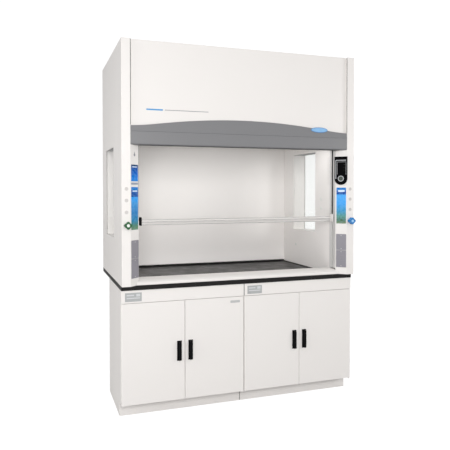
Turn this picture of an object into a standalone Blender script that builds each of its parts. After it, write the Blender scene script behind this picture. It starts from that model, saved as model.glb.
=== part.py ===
"""A bench fume hood with a counterbalanced sash, on a resin worksurface over two base cabinets.

+X is the width, the front faces -Y, +Z is up. The origin is on the floor, under the middle of the
whole object's box. Every size is in metres; the driving ones are written in inches, as this kind of
furniture is made.
"""

import math

import bmesh
import bpy
from mathutils import Vector

INCH = 0.0254
GAP = 0.0003
SHEET = 0.06 * INCH

# Overall sizes.
WIDTH = 72.0 * INCH
HALF = WIDTH / 2
DEPTH = 37.75 * INCH
HEIGHT = 103.25 * INCH
KNOB_REACH = 1.75 * INCH
FRONT = -(DEPTH - KNOB_REACH) / 2
REAR = FRONT + DEPTH

# Base cabinets and worksurface. Depths run back from the front face of the posts.
COUNTER_TOP = 36.75 * INCH
COUNTER_THICK = 1.25 * INCH
COUNTER_SETBACK = 1.25 * INCH
COUNTER_UNDER = COUNTER_TOP - COUNTER_THICK
DOOR_SETBACK = 1.5 * INCH
DOOR_THICK = 0.75 * INCH
CASE_SETBACK = DOOR_SETBACK + DOOR_THICK + 0.08 * INCH
CASE_BACK = 23.5 * INCH
TOE_HEIGHT = 4.0 * INCH
TOE_BACK = 5.0 * INCH
APRON_BOTTOM = 31.97 * INCH
DOOR_GAP = 0.12 * INCH
FRAME_WIDTH = 0.75 * INCH
HINGE_RADIUS = 0.236 * INCH
HINGE_SETBACK = DOOR_SETBACK + DOOR_THICK / 2
PIN_RADIUS = 0.09 * INCH
PIN_REACH = 0.4 * INCH
SHELF_TOP = 18.75 * INCH
SHELF_SETBACK = 3.0 * INCH
SHELF_LIP = 0.75 * INCH
PULL_OFFSET = 1.65 * INCH
PULL_MIDDLE = 17.8 * INCH
PULL_WIDE = 1.35 * INCH
PULL_TALL = 5.6 * INCH
PULL_REACH = 1.0 * INCH

# Hood shell.
POST_WIDE = 2.4 * INCH
POST_DEEP = 2.4 * INCH
POST_X = HALF - POST_WIDE
SHELL_BOTTOM = COUNTER_TOP + GAP
INNER_HALF = 31.0 * INCH
STRIP_BACK = 2.15 * INCH
HEADER_BOTTOM = 74.95 * INCH
HEADER_END_TOP = 80.0 * INCH
HEADER_RISE = 2.65 * INCH
HEADER_ARCH_HALF = 30.2 * INCH
PANEL_SETBACK = 0.75 * INCH
CEILING = 80.0 * INCH
CEILING_FRONT = 5.8 * INCH
BAFFLE_BACK = 35.4 * INCH
BAFFLE_BOTTOM = 37.2 * INCH
LINER_THICK = 0.25 * INCH
WINDOW_FRONT = 13.9 * INCH
WINDOW_REAR = 28.6 * INCH
WINDOW_BOTTOM = 48.9 * INCH
WINDOW_TOP = 75.35 * INCH

# Sash and counterbalance. The sash rests at its working height.
RAIL_BOTTOM = 53.0 * INCH
RAIL_TALL = 1.6 * INCH
GLASS_TOP = 90.1 * INCH
GLASS_SETBACK = 3.68 * INCH
GLASS_THICK = 0.25 * INCH
TRACK_BACK = 5.5 * INCH
CABLE_X = 29.85 * INCH
CABLE_RADIUS = 0.05 * INCH
LUG_RISE = 0.05 * INCH
PULLEY_RADIUS = 0.95 * INCH
SHAFT_RADIUS = 0.25 * INCH
SHAFT_Z = 101.75 * INCH
FRONT_SHAFT_BACK = 5.6 * INCH
REAR_SHAFT_BACK = 35.55 * INCH
WEIGHT_TOP = 76.9 * INCH
WEIGHT_TALL = 3.7 * INCH

# Services on the posts and the angled strips.
KNOB_X = HALF - 1.5 * INCH
KNOB_Z = 53.3 * INCH
STEM_RADIUS = 0.19 * INCH
MONITOR_TOP = 73.0 * INCH
MONITOR_RADIUS = 1.91 * INCH
MONITOR_Z = 66.25 * INCH
MONITOR_SHIFT = -0.08 * INCH
MONITOR_DEEP = 0.6 * INCH
PLATE_WIDE = 2.95 * INCH
PLATE_THICK = 0.14 * INCH
PLATE_BOTTOM = 38.9 * INCH
PLATE_TOP = 49.15 * INCH
PLATE_SPLIT = 44.2 * INCH

# Fans and filters above the ceiling.
FAN_X = 15.0 * INCH
FAN_BACK = 20.5 * INCH
FAN_RADIUS = 6.0 * INCH
FAN_BOTTOM = 90.0 * INCH
MOTOR_BOTTOM = 94.05 * INCH
FILTER_BOTTOM = CEILING + SHEET + GAP
FILTER_TOP = FILTER_BOTTOM + 1.5 * INCH
PLENUM_HALF = 28.5 * INCH
PLENUM_FRONT = 8.5 * INCH
PLENUM_REAR = 32.5 * INCH
PLENUM_TOP = 96.0 * INCH

FINISHES = {
    "white_paint": ((0.85, 0.84, 0.82, 1), 0.35, 0.0),
    "liner_white": ((0.86, 0.85, 0.83, 1), 0.45, 0.0),
    "header_grey": ((0.30, 0.30, 0.32, 1), 0.4, 0.0),
    "black_resin": ((0.02, 0.02, 0.022, 1), 0.45, 0.0),
    "black_plastic": ((0.01, 0.01, 0.01, 1), 0.35, 0.0),
    "satin_aluminium": ((0.72, 0.72, 0.73, 1), 0.35, 1.0),
    "steel": ((0.6, 0.6, 0.6, 1), 0.3, 1.0),
    "cast_iron": ((0.08, 0.08, 0.09, 1), 0.6, 1.0),
    "clear_glass": ((0.8, 0.9, 0.88, 0.35), 0.02, 0.0),
    "grey_plastic": ((0.32, 0.31, 0.34, 1), 0.4, 0.0),
    "knob_green": ((0.05, 0.25, 0.08, 1), 0.3, 0.0),
    "knob_blue": ((0.03, 0.22, 0.55, 1), 0.3, 0.0),
    "brass": ((0.7, 0.5, 0.2, 1), 0.3, 1.0),
    "filter_grey": ((0.6, 0.6, 0.58, 1), 0.9, 0.0),
    "lamp_white": ((0.9, 0.9, 0.88, 1), 0.3, 0.0),
}


def clear_scene():
    for obj in list(bpy.data.objects):
        bpy.data.objects.remove(obj, do_unlink=True)


def make_collection(name):
    collection = bpy.data.collections.new(name)
    bpy.context.scene.collection.children.link(collection)
    return collection


def make_materials():
    for name, (colour, roughness, metallic) in FINISHES.items():
        material = bpy.data.materials.new(name)
        material.use_nodes = True
        shader = material.node_tree.nodes["Principled BSDF"]
        shader.inputs["Base Color"].default_value = colour
        shader.inputs["Roughness"].default_value = roughness
        shader.inputs["Metallic"].default_value = metallic
        shader.inputs["Alpha"].default_value = colour[3]


def back(distance):
    """The Y of a plane this far behind the front face of the posts."""
    return FRONT + distance


def place(obj, finish, parent=None):
    parts.objects.link(obj)
    obj.data.materials.clear()
    obj.data.materials.append(bpy.data.materials[finish])
    obj.parent = parent
    return obj


def hide(obj):
    """Makes an object a cutter."""
    cutters.objects.link(obj)
    obj.hide_render = True
    obj.display_type = "WIRE"
    return obj


def block(name, low, high):
    """A box between two corners, with its origin in its middle."""
    low = Vector(low)
    high = Vector(high)
    mesh = bpy.data.meshes.new(name)
    bm = bmesh.new()
    bmesh.ops.create_cube(bm, size=1)
    bmesh.ops.scale(bm, vec=high - low, verts=bm.verts)
    bm.to_mesh(mesh)
    bm.free()
    obj = bpy.data.objects.new(name, mesh)
    obj.location = (low + high) / 2
    return obj


def rod(name, radius, start, end, sides=20):
    """A cylinder from one point to another."""
    start = Vector(start)
    end = Vector(end)
    run = end - start
    mesh = bpy.data.meshes.new(name)
    bm = bmesh.new()
    bmesh.ops.create_cone(
        bm, cap_ends=True, segments=sides, radius1=radius, radius2=radius, depth=run.length
    )
    bm.to_mesh(mesh)
    bm.free()
    mesh.shade_smooth()
    mesh.set_sharp_from_angle(angle=math.radians(40))
    obj = bpy.data.objects.new(name, mesh)
    obj.location = (start + end) / 2
    obj.rotation_mode = "QUATERNION"
    obj.rotation_quaternion = Vector((0, 0, 1)).rotation_difference(run)
    return obj


AXIS_TURNS = {
    "x": (math.pi / 2, 0, math.pi / 2),
    "y": (math.pi / 2, 0, 0),
    "z": (0, 0, 0),
}


def prism(name, outline, low, high, axis):
    """A flat outline made solid from low to high along an axis.

    The outline is in XY for axis z, in XZ for axis y and in YZ for axis x.
    """
    curve = bpy.data.curves.new(name, "CURVE")
    curve.dimensions = "2D"
    curve.fill_mode = "BOTH"
    curve.extrude = (high - low) / 2
    spline = curve.splines.new("POLY")
    spline.points.add(len(outline) - 1)
    for point, (u, v) in zip(spline.points, outline):
        point.co = (u, v, 0, 1)
    spline.use_cyclic_u = True
    guide = bpy.data.objects.new(name + "_guide", curve)
    cutters.objects.link(guide)
    graph = bpy.context.evaluated_depsgraph_get()
    mesh = bpy.data.meshes.new_from_object(guide.evaluated_get(graph))
    bm = bmesh.new()
    bm.from_mesh(mesh)
    bmesh.ops.remove_doubles(bm, verts=bm.verts, dist=1e-6)
    bmesh.ops.recalc_face_normals(bm, faces=bm.faces)
    bm.to_mesh(mesh)
    bm.free()
    mesh.name = name
    bpy.data.objects.remove(guide, do_unlink=True)
    obj = bpy.data.objects.new(name, mesh)
    obj.rotation_euler = AXIS_TURNS[axis]
    middle = (low + high) / 2
    obj.location = {"x": (middle, 0, 0), "y": (0, middle, 0), "z": (0, 0, middle)}[axis]
    return obj


def folded_sheet(name, profile, low, high, axis):
    """A bent sheet: an open profile swept from low to high, its thickness on the left of the profile."""
    mesh = bpy.data.meshes.new(name)
    bm = bmesh.new()
    rows = [[bm.verts.new((u, v, w)) for u, v in profile] for w in (low, high)]
    for i in range(len(profile) - 1):
        bm.faces.new((rows[0][i], rows[0][i + 1], rows[1][i + 1], rows[1][i]))
    bm.to_mesh(mesh)
    bm.free()
    obj = bpy.data.objects.new(name, mesh)
    obj.rotation_euler = AXIS_TURNS[axis]
    wall = obj.modifiers.new("thickness", "SOLIDIFY")
    wall.thickness = SHEET
    wall.offset = -1
    wall.use_even_offset = True
    wall.use_quality_normals = True
    return obj


def rounded(points, radius, steps=3):
    """The open or closed profile with each inner corner made an arc."""
    result = [points[0]]
    for before, corner, after in zip(points, points[1:], points[2:]):
        corner = Vector(corner)
        one = (Vector(before) - corner).normalized()
        two = (Vector(after) - corner).normalized()
        half = one.angle(two) / 2
        reach = radius / math.tan(half)
        centre = corner + (one + two).normalized() * radius / math.sin(half)
        start = corner + one * reach - centre
        turn = start.angle_signed(corner + two * reach - centre)
        for step in range(steps + 1):
            angle = -turn * step / steps
            x = start.x * math.cos(angle) - start.y * math.sin(angle)
            y = start.x * math.sin(angle) + start.y * math.cos(angle)
            result.append((centre.x + x, centre.y + y))
    result.append(points[-1])
    return result


def boolean(obj, other, operation="DIFFERENCE"):
    """Cuts a hidden object from obj, or joins it on."""
    if other.name not in cutters.objects:
        hide(other)
    modifier = obj.modifiers.new(operation.lower(), "BOOLEAN")
    modifier.operation = operation
    modifier.object = other
    return obj


def cut(obj, *others):
    for other in others:
        boolean(obj, other)
    return obj


def join(obj, *others):
    for other in others:
        boolean(obj, other, "UNION")
    return obj


def soften(obj, width, steps=2, angle=40):
    bevel = obj.modifiers.new("edges", "BEVEL")
    bevel.width = width
    bevel.segments = steps
    bevel.limit_method = "ANGLE"
    bevel.angle_limit = math.radians(angle)
    return obj


def empty(name, location, turn=0.0):
    """A parent on a joint's axis, or the frame of a slanted face."""
    obj = bpy.data.objects.new(name, None)
    parts.objects.link(obj)
    obj.location = location
    obj.rotation_euler = (0, 0, turn)
    return obj


# Base cabinets ------------------------------------------------------------------------------------


def cabinet_body(name, left, right, pin_xs):
    """A welded case with a shelf, open at the front and under the worksurface, with a toe recess."""
    top = COUNTER_UNDER - GAP
    case = block(name, (left, back(CASE_SETBACK), 0), (right, back(CASE_BACK), top))
    apron = block(
        name + "_apron", (left, back(DOOR_SETBACK), APRON_BOTTOM), (right, back(2.4 * INCH), top)
    )
    join(case, apron)
    inner_left = left + SHEET
    inner_right = right - SHEET
    front = back(CASE_SETBACK + SHEET)
    rear = back(CASE_BACK - SHEET)
    shelf_front = back(SHELF_SETBACK)
    floor = TOE_HEIGHT + SHEET
    over = COUNTER_TOP
    hollows = {
        "front": ((inner_left, front, floor), (inner_right, shelf_front, over)),
        "above_shelf": ((inner_left, front, SHELF_TOP), (inner_right, rear, over)),
        "below_shelf": ((inner_left, shelf_front + SHEET, floor), (inner_right, rear, SHELF_TOP - SHEET)),
        "below_lip": ((inner_left, front, floor), (inner_right, rear, SHELF_TOP - SHELF_LIP)),
        "apron": (
            (inner_left, back(DOOR_SETBACK + SHEET), APRON_BOTTOM + SHEET),
            (inner_right, front + SHEET, over),
        ),
        "mouth": (
            (left + FRAME_WIDTH, FRONT, TOE_HEIGHT + FRAME_WIDTH),
            (right - FRAME_WIDTH, front + SHEET, APRON_BOTTOM - FRAME_WIDTH),
        ),
        "toe": ((left - INCH, FRONT, -INCH), (right + INCH, back(TOE_BACK), TOE_HEIGHT)),
        "base": ((inner_left, back(TOE_BACK + SHEET), -INCH), (inner_right, rear, TOE_HEIGHT)),
    }
    for label, (low, high) in hollows.items():
        cut(case, block(name + "_" + label, low, high))
    for x in pin_xs:
        y = back(HINGE_SETBACK)
        half = 0.3 * INCH
        bracket = block(
            name + "_pin_bracket",
            (x - half, y - half, TOE_HEIGHT - 0.12 * INCH),
            (x + half, back(3.2 * INCH), TOE_HEIGHT + 0.02 * INCH),
        )
        join(case, bracket)
        bore = rod(name + "_pin_bore", PIN_RADIUS + GAP, (x, y, 0), (x, y, COUNTER_UNDER - INCH), 12)
        cut(case, bore)
    place(case, "white_paint")


def door_outline(wide):
    """The door seen from above, its hinge pin at the origin and its hinge edge towards -X."""
    half = DOOR_THICK / 2
    corners = [(wide / 2, -half), (-half, -half), (-half, half), (wide / 2, half)]
    hinge_side = rounded(corners, HINGE_RADIUS)[1:-1]
    far = wide - half
    lip = 0.05 * INCH
    far_side = [(far - lip, half), (far, half - lip), (far, lip - half), (far - lip, -half)]
    return hinge_side + far_side


def door(name, pin_x, wide, hand):
    """A hollow pan door on two pins. hand is 1 where it reaches towards +X from its pins, or -1."""
    pivot = empty(name + "_pivot", (pin_x, back(HINGE_SETBACK), 0))
    low = TOE_HEIGHT + 0.05 * INCH
    high = APRON_BOTTOM - DOOR_GAP
    outline = [(hand * x, y) for x, y in door_outline(wide)]
    panel = prism(name, outline, low, high, "z")
    half = DOOR_THICK / 2 - SHEET
    ends = sorted((-hand * half, hand * (wide - DOOR_THICK / 2 - SHEET)))
    hollow = block(name + "_hollow", (ends[0], -half, low + SHEET), (ends[1], half, high - SHEET))
    drain_x = hand * (wide - INCH)
    drain = rod(name + "_drain", 0.15 * INCH, (drain_x, 0, low - INCH), (drain_x, 0, low + INCH), 12)
    upper = rod(name + "_upper_pin", PIN_RADIUS, (0, 0, high - 0.7 * INCH), (0, 0, high + PIN_REACH), 12)
    lower = rod(name + "_lower_pin", PIN_RADIUS, (0, 0, low - PIN_REACH), (0, 0, low + 0.7 * INCH), 12)
    for helper in (hollow, drain, upper, lower):
        helper.parent = pivot
    cut(panel, hollow, drain)
    join(panel, upper, lower)
    place(panel, "white_paint", pivot)
    return pivot


def pull(name, pivot, x):
    """A bar on a backplate, with a finger gap behind the bar."""
    face = -DOOR_THICK / 2 - GAP
    plate_thick = 0.12 * INCH
    half_wide = PULL_WIDE / 2
    half_tall = PULL_TALL / 2
    middle = PULL_MIDDLE
    plate = block(
        name,
        (x - half_wide, face - plate_thick, middle - half_tall),
        (x + half_wide, face, middle + half_tall),
    )
    bar = block(
        name + "_bar",
        (x - 0.28 * INCH, face - PULL_REACH, middle - half_tall + 0.15 * INCH),
        (x + 0.28 * INCH, face - plate_thick / 2, middle + half_tall - 0.15 * INCH),
    )
    fingers = block(
        name + "_fingers",
        (x - INCH, face - PULL_REACH + 0.22 * INCH, middle - half_tall + 0.6 * INCH),
        (x + INCH, face - plate_thick, middle + half_tall - 0.6 * INCH),
    )
    bar.parent = pivot
    fingers.parent = pivot
    join(plate, bar)
    cut(plate, fingers)
    place(plate, "black_plastic", pivot)


def cabinets():
    """Two cabinets side by side, each with a pair of doors that meet in its middle."""
    half_seam = 0.02 * INCH
    pin_inset = DOOR_GAP / 2 + DOOR_THICK / 2
    for name, left, right in (("left", -HALF, -half_seam), ("right", half_seam, HALF)):
        middle = (left + right) / 2
        wide = middle - left - DOOR_GAP
        hinges = {"a": (left + pin_inset, 1), "b": (right - pin_inset, -1)}
        cabinet_body("cabinet_%s_body" % name, left, right, [x for x, _ in hinges.values()])
        for letter, (pin_x, hand) in hinges.items():
            pivot = door("cabinet_%s_door_%s" % (name, letter), pin_x, wide, hand)
            pull("pull_%s_%s" % (name, letter), pivot, middle - hand * PULL_OFFSET - pin_x)


def turned(name, profile, location, sides):
    """A profile of (radius, height) pairs, top to bottom, turned about Z."""
    mesh = bpy.data.meshes.new(name)
    bm = bmesh.new()
    rows = [bm.verts.new((r, 0, z)) for r, z in profile]
    for one, two in zip(rows, rows[1:]):
        bm.edges.new((one, two))
    bm.to_mesh(mesh)
    bm.free()
    obj = bpy.data.objects.new(name, mesh)
    obj.location = location
    screw = obj.modifiers.new("turn", "SCREW")
    screw.steps = sides
    screw.render_steps = sides
    screw.use_merge_vertices = True
    screw.merge_threshold = 0.00005
    screw.use_smooth_shade = False
    return obj


def worksurface():
    slab = block(
        "worksurface",
        (-HALF, back(COUNTER_SETBACK), COUNTER_UNDER),
        (HALF, back(DEPTH - 0.05 * INCH), COUNTER_TOP),
    )
    dish = block(
        "worksurface_dish",
        (-30.5 * INCH, back(6.5 * INCH), COUNTER_TOP - 0.25 * INCH),
        (30.5 * INCH, back(34.8 * INCH), COUNTER_TOP + INCH),
    )
    cut(slab, dish)
    soften(slab, 0.05 * INCH, 1)
    place(slab, "black_resin")


# Hood shell ---------------------------------------------------------------------------------------


def airfoil():
    """A rounded sheet sill that guides air over the front edge, open behind."""
    nose = [(1.4, 36.78), (1.4, 37.5), (2.6, 38.2), (5.75, 38.33), (5.75, 37.8)]
    profile = [(back(y * INCH), z * INCH) for y, z in nose]
    smooth = rounded(profile, 0.3 * INCH)[::-1]
    reach = POST_X - 0.5 * INCH
    sill = folded_sheet("airfoil_sill", smooth, -reach, reach, "x")
    for side in (-1, 1):
        outside = [
            (side * (POST_X - 0.1 * INCH), back(-INCH)),
            (side * (POST_X - 0.1 * INCH), back(0)),
            (side * (INNER_HALF - 0.1 * INCH), back(STRIP_BACK)),
            (side * (INNER_HALF - 0.1 * INCH), back(8 * INCH)),
            (side * HALF, back(8 * INCH)),
            (side * HALF, back(-INCH)),
        ]
        cut(sill, prism("airfoil_end_%d" % side, outside, 36 * INCH, 40 * INCH, "z"))
    place(sill, "white_paint")


def side_shell(name, side):
    """One side of the hood: outer panel, corner post, angled strip, inner liner and sash track."""
    x = side * HALF
    outer = block_between(
        name + "_outer_panel",
        (x, back(POST_DEEP) + GAP, SHELL_BOTTOM),
        (x - side * SHEET, REAR, HEIGHT),
    )
    cut(outer, window_cutter(name + "_outer_opening", x))
    place(outer, "white_paint")

    section = rounded([(x, back(POST_DEEP)), (x, FRONT), (side * POST_X, FRONT)], 0.1 * INCH)
    section += [(side * INNER_HALF, back(STRIP_BACK)), (side * INNER_HALF, back(2.33 * INCH))]
    inward = section if side < 0 else section[::-1]
    post = folded_sheet(name + "_corner_post", inward, SHELL_BOTTOM, HEIGHT, "z")
    over_strip = block_between(
        name + "_over_strip",
        (side * (POST_X - GAP), back(-INCH), HEADER_BOTTOM - GAP),
        (side * 30 * INCH, back(3 * INCH), HEIGHT + INCH),
    )
    stem_hole = rod(
        name + "_stem_hole",
        0.26 * INCH,
        (side * KNOB_X, back(-INCH), KNOB_Z),
        (side * KNOB_X, back(INCH), KNOB_Z),
    )
    cut(post, over_strip, stem_hole)
    place(post, "white_paint")

    wall = side * INNER_HALF
    liner = block_between(
        name + "_inner_liner",
        (wall, back(TRACK_BACK) + GAP, SHELL_BOTTOM),
        (wall + side * LINER_THICK, back(BAFFLE_BACK) - GAP, CEILING - GAP),
    )
    cut(liner, window_cutter(name + "_inner_opening", wall))
    place(liner, "liner_white")

    deep = 0.8 * INCH
    groove = 0.65 * INCH
    channel = [
        (0, 2.36 * INCH),
        (deep, 2.36 * INCH),
        (deep, TRACK_BACK),
        (0, TRACK_BACK),
        (0, 4.2 * INCH),
        (groove, 4.2 * INCH),
        (groove, 3.4 * INCH),
        (0, 3.4 * INCH),
    ]
    outline = [(wall + side * u, back(v)) for u, v in channel]
    track = prism(name + "_sash_track", outline, 38.42 * INCH, 102.8 * INCH, "z")
    place(track, "satin_aluminium")


def block_between(name, one, two):
    low = [min(a, b) for a, b in zip(one, two)]
    high = [max(a, b) for a, b in zip(one, two)]
    return block(name, low, high)


def window_cutter(name, x):
    return block(
        name,
        (x - INCH, back(WINDOW_FRONT), WINDOW_BOTTOM),
        (x + INCH, back(WINDOW_REAR), WINDOW_TOP),
    )


def windows():
    """An outer and an inner pane on each side, each behind its opening."""
    lap = 0.5 * INCH
    thick = 0.22 * INCH
    faces = {"outer": HALF - SHEET - GAP, "inner": INNER_HALF + LINER_THICK + GAP + thick}
    for side_name, side in (("left", -1), ("right", 1)):
        for where, face in faces.items():
            pane = block_between(
                "%s_%s_window" % (side_name, where),
                (side * face, back(WINDOW_FRONT - lap), WINDOW_BOTTOM - lap),
                (side * (face - thick), back(WINDOW_REAR + lap), WINDOW_TOP + lap),
            )
            place(pane, "clear_glass")


def rear_and_inside():
    inside = HALF - SHEET - GAP
    rear = block(
        "rear_panel",
        (-inside, back(DEPTH - SHEET), SHELL_BOTTOM),
        (inside, REAR, HEIGHT - SHEET - GAP),
    )
    place(rear, "white_paint")
    clear = INNER_HALF - GAP
    baffle = block(
        "rear_baffle",
        (-clear, back(BAFFLE_BACK), BAFFLE_BOTTOM),
        (clear, back(BAFFLE_BACK + 0.1 * INCH), CEILING - GAP),
    )
    place(baffle, "liner_white")

    profile = [
        (back(CEILING_FRONT), 90 * INCH),
        (back(CEILING_FRONT), CEILING),
        (back(BAFFLE_BACK), CEILING),
    ]
    ceiling = folded_sheet("chamber_ceiling", profile, -clear, clear, "x")
    for x in (-FAN_X, FAN_X):
        cut(
            ceiling,
            block(
                "filter_opening",
                (x - 12.5 * INCH, back(10 * INCH), CEILING - INCH),
                (x + 12.5 * INCH, back(31 * INCH), CEILING + INCH),
            ),
        )
    place(ceiling, "liner_white")

    lamp = block(
        "light_fixture",
        (-20 * INCH, back(6.6 * INCH), CEILING - INCH),
        (20 * INCH, back(9.2 * INCH), CEILING - GAP),
    )
    soften(lamp, 0.25 * INCH, 2)
    place(lamp, "lamp_white")


def roof():
    inside = HALF - SHEET - GAP
    right_half = [
        (POST_X + 0.1 * INCH, back(PANEL_SETBACK)),
        (POST_X + 0.1 * INCH, back(SHEET) + GAP),
        (inside - 0.2 * INCH, back(SHEET) + GAP),
        (inside, back(0.3 * INCH)),
        (inside, REAR),
    ]
    left_half = [(-x, y) for x, y in reversed(right_half)]
    panel = prism("roof_panel", right_half + left_half, HEIGHT - SHEET, HEIGHT, "z")
    for x in (-FAN_X, FAN_X):
        for row in range(-4, 5):
            y = back(FAN_BACK + row * 1.25 * INCH)
            slot = block(
                "grille_slot",
                (x - 6 * INCH, y - 0.2 * INCH, HEIGHT - INCH),
                (x + 6 * INCH, y + 0.2 * INCH, HEIGHT + INCH),
            )
            cut(panel, slot)
    place(panel, "white_paint")


def upper_front():
    """The removable panel over the header, with a flange along each post."""
    edge = POST_X - 2 * GAP - SHEET
    profile = [
        (-edge, back(SHEET)),
        (-edge, back(PANEL_SETBACK)),
        (edge, back(PANEL_SETBACK)),
        (edge, back(SHEET)),
    ]
    panel = folded_sheet("upper_front_panel", profile, 79.7 * INCH, HEIGHT - SHEET - GAP, "z")
    for side in (-1, 1):
        notch = block_between(
            "flange_notch_%d" % side,
            (side * (edge - SHEET), back(-INCH), 79 * INCH),
            (side * HALF, back(PANEL_SETBACK) - GAP, HEADER_END_TOP + GAP),
        )
        cut(panel, notch)
    place(panel, "white_paint")


def header():
    """The moulded header: a flat lower band, an arched brow that leans back, and an underside."""
    edge = POST_X - GAP
    radius = (HEADER_ARCH_HALF**2 + HEADER_RISE**2) / (2 * HEADER_RISE)
    arch_top = HEADER_END_TOP + HEADER_RISE
    steps = 24
    arch = []
    for step in range(steps + 1):
        x = HEADER_ARCH_HALF * (2 * step / steps - 1)
        arch.append((x, arch_top - radius + math.sqrt(radius**2 - x**2)))
    outline = [(edge, HEADER_BOTTOM), (edge, HEADER_END_TOP)] + arch[::-1]
    outline += [(-edge, HEADER_END_TOP), (-edge, HEADER_BOTTOM)]
    face = prism("arched_header", outline, FRONT, back(PANEL_SETBACK) - GAP, "y")
    lean = [
        (back(-INCH), 78.7 * INCH),
        (back(0), 78.7 * INCH),
        (back(0.66 * INCH), 83 * INCH),
        (back(0.66 * INCH), 84 * INCH),
        (back(-INCH), 84 * INCH),
    ]
    brow_cut = prism("header_lean", lean, -HALF, HALF, "x")
    hollow = block(
        "header_hollow",
        (-edge + 0.12 * INCH, back(0.14 * INCH), HEADER_BOTTOM + 0.12 * INCH),
        (edge - 0.12 * INCH, back(2 * INCH), 78.5 * INCH),
    )
    cut(face, brow_cut, hollow)
    inner = INNER_HALF - GAP
    underside = [
        (-edge + 0.1 * INCH, back(0.08 * INCH)),
        (-inner, back(STRIP_BACK)),
        (-inner, back(3.0 * INCH)),
        (inner, back(3.0 * INCH)),
        (inner, back(STRIP_BACK)),
        (edge - 0.1 * INCH, back(0.08 * INCH)),
    ]
    join(
        face,
        prism("header_underside", underside, HEADER_BOTTOM + 0.001 * INCH, HEADER_BOTTOM + 0.15 * INCH, "z"),
    )
    place(face, "header_grey")


# Sash and counterbalance --------------------------------------------------------------------------


def sash():
    carrier = empty("sash_carrier", (0, back(GLASS_SETBACK + GLASS_THICK / 2), RAIL_BOTTOM))
    here = carrier.location
    near = back(GLASS_SETBACK) - here.y
    far = near + GLASS_THICK
    seat = 0.62 * INCH
    glass = block(
        "sash_glass",
        (-INNER_HALF - 0.35 * INCH, near, seat),
        (INNER_HALF + 0.35 * INCH, far, GLASS_TOP - here.z),
    )
    place(glass, "clear_glass", carrier)

    rail_end = 30.0 * INCH
    body = block("sash_handle_rail", (-rail_end, near - 0.42 * INCH, 0), (rail_end, far + 0.42 * INCH, RAIL_TALL))
    lip = block(
        "rail_lip",
        (-rail_end, near - 1.05 * INCH, 0.72 * INCH),
        (rail_end, near - 0.3 * INCH, 0.88 * INCH),
    )
    slot = block(
        "rail_slot",
        (-HALF, near - GAP, seat - GAP),
        (HALF, far + GAP, RAIL_TALL + INCH),
    )
    lip.parent = carrier
    slot.parent = carrier
    soften(body, 0.05 * INCH, 1)
    join(body, lip)
    cut(body, slot)
    place(body, "satin_aluminium", carrier)

    for name, side in (("left", -1), ("right", 1)):
        cap = block_between(
            name + "_sash_end_cap",
            (side * (rail_end + GAP), near - 1.1 * INCH, -0.05 * INCH),
            (side * (rail_end + 0.5 * INCH), far + 0.47 * INCH, 2.25 * INCH),
        )
        shoe = block_between(
            name + "_shoe",
            (side * (rail_end + 0.25 * INCH), far + 0.04 * INCH, 1.3 * INCH),
            (side * (INNER_HALF + 0.5 * INCH), far + 0.2 * INCH, 1.9 * INCH),
        )
        glass_slot = block(
            name + "_glass_slot", (-HALF, near - GAP, seat - GAP), (HALF, far + GAP, 3 * INCH)
        )
        shoe.parent = carrier
        glass_slot.parent = carrier
        join(cap, shoe)
        cut(cap, glass_slot)
        place(cap, "black_plastic", carrier)

    top = GLASS_TOP - here.z
    clamp = block(
        "sash_top_clamp",
        (-30.4 * INCH, near - 0.25 * INCH, top - 0.4 * INCH),
        (30.4 * INCH, far + 0.35 * INCH, top + 0.3 * INCH),
    )
    clamp_slot = block("clamp_slot", (-HALF, near - GAP, top - INCH), (HALF, far + GAP, top + GAP))
    clamp_slot.parent = carrier
    for side in (-1, 1):
        lug = block_between(
            "cable_lug",
            (side * (CABLE_X - 0.4 * INCH), far + 0.2 * INCH, top - 0.3 * INCH),
            (side * (CABLE_X + 0.4 * INCH), far + 0.85 * INCH, top + LUG_RISE),
        )
        lug.parent = carrier
        join(clamp, lug)
    cut(clamp, clamp_slot)
    place(clamp, "satin_aluminium", carrier)


def pulley_shaft(name, setback):
    """One shaft with a grooved pulley keyed on at each end, turned as one profile."""
    axle = empty(name + "_axis", (0, back(setback), SHAFT_Z))
    groove = PULLEY_RADIUS - CABLE_RADIUS - GAP
    rim = PULLEY_RADIUS + 0.1 * INCH
    shaft = SHAFT_RADIUS
    half_pulley = [
        (shaft, CABLE_X + 0.22 * INCH),
        (rim, CABLE_X + 0.22 * INCH),
        (rim, CABLE_X + 0.12 * INCH),
        (groove, CABLE_X + 0.06 * INCH),
        (groove, CABLE_X - 0.06 * INCH),
        (rim, CABLE_X - 0.12 * INCH),
        (rim, CABLE_X - 0.22 * INCH),
        (shaft, CABLE_X - 0.22 * INCH),
    ]
    end = INNER_HALF - 0.1 * INCH
    lower = [(r, -z) for r, z in reversed(half_pulley)]
    profile = [(0, end), (shaft, end)] + half_pulley + lower + [(shaft, -end), (0, -end)]
    shaft_obj = turned(name, profile, (0, 0, 0), 20)
    shaft_obj.rotation_euler = (0, math.pi / 2, 0)
    place(shaft_obj, "steel", axle)


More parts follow.
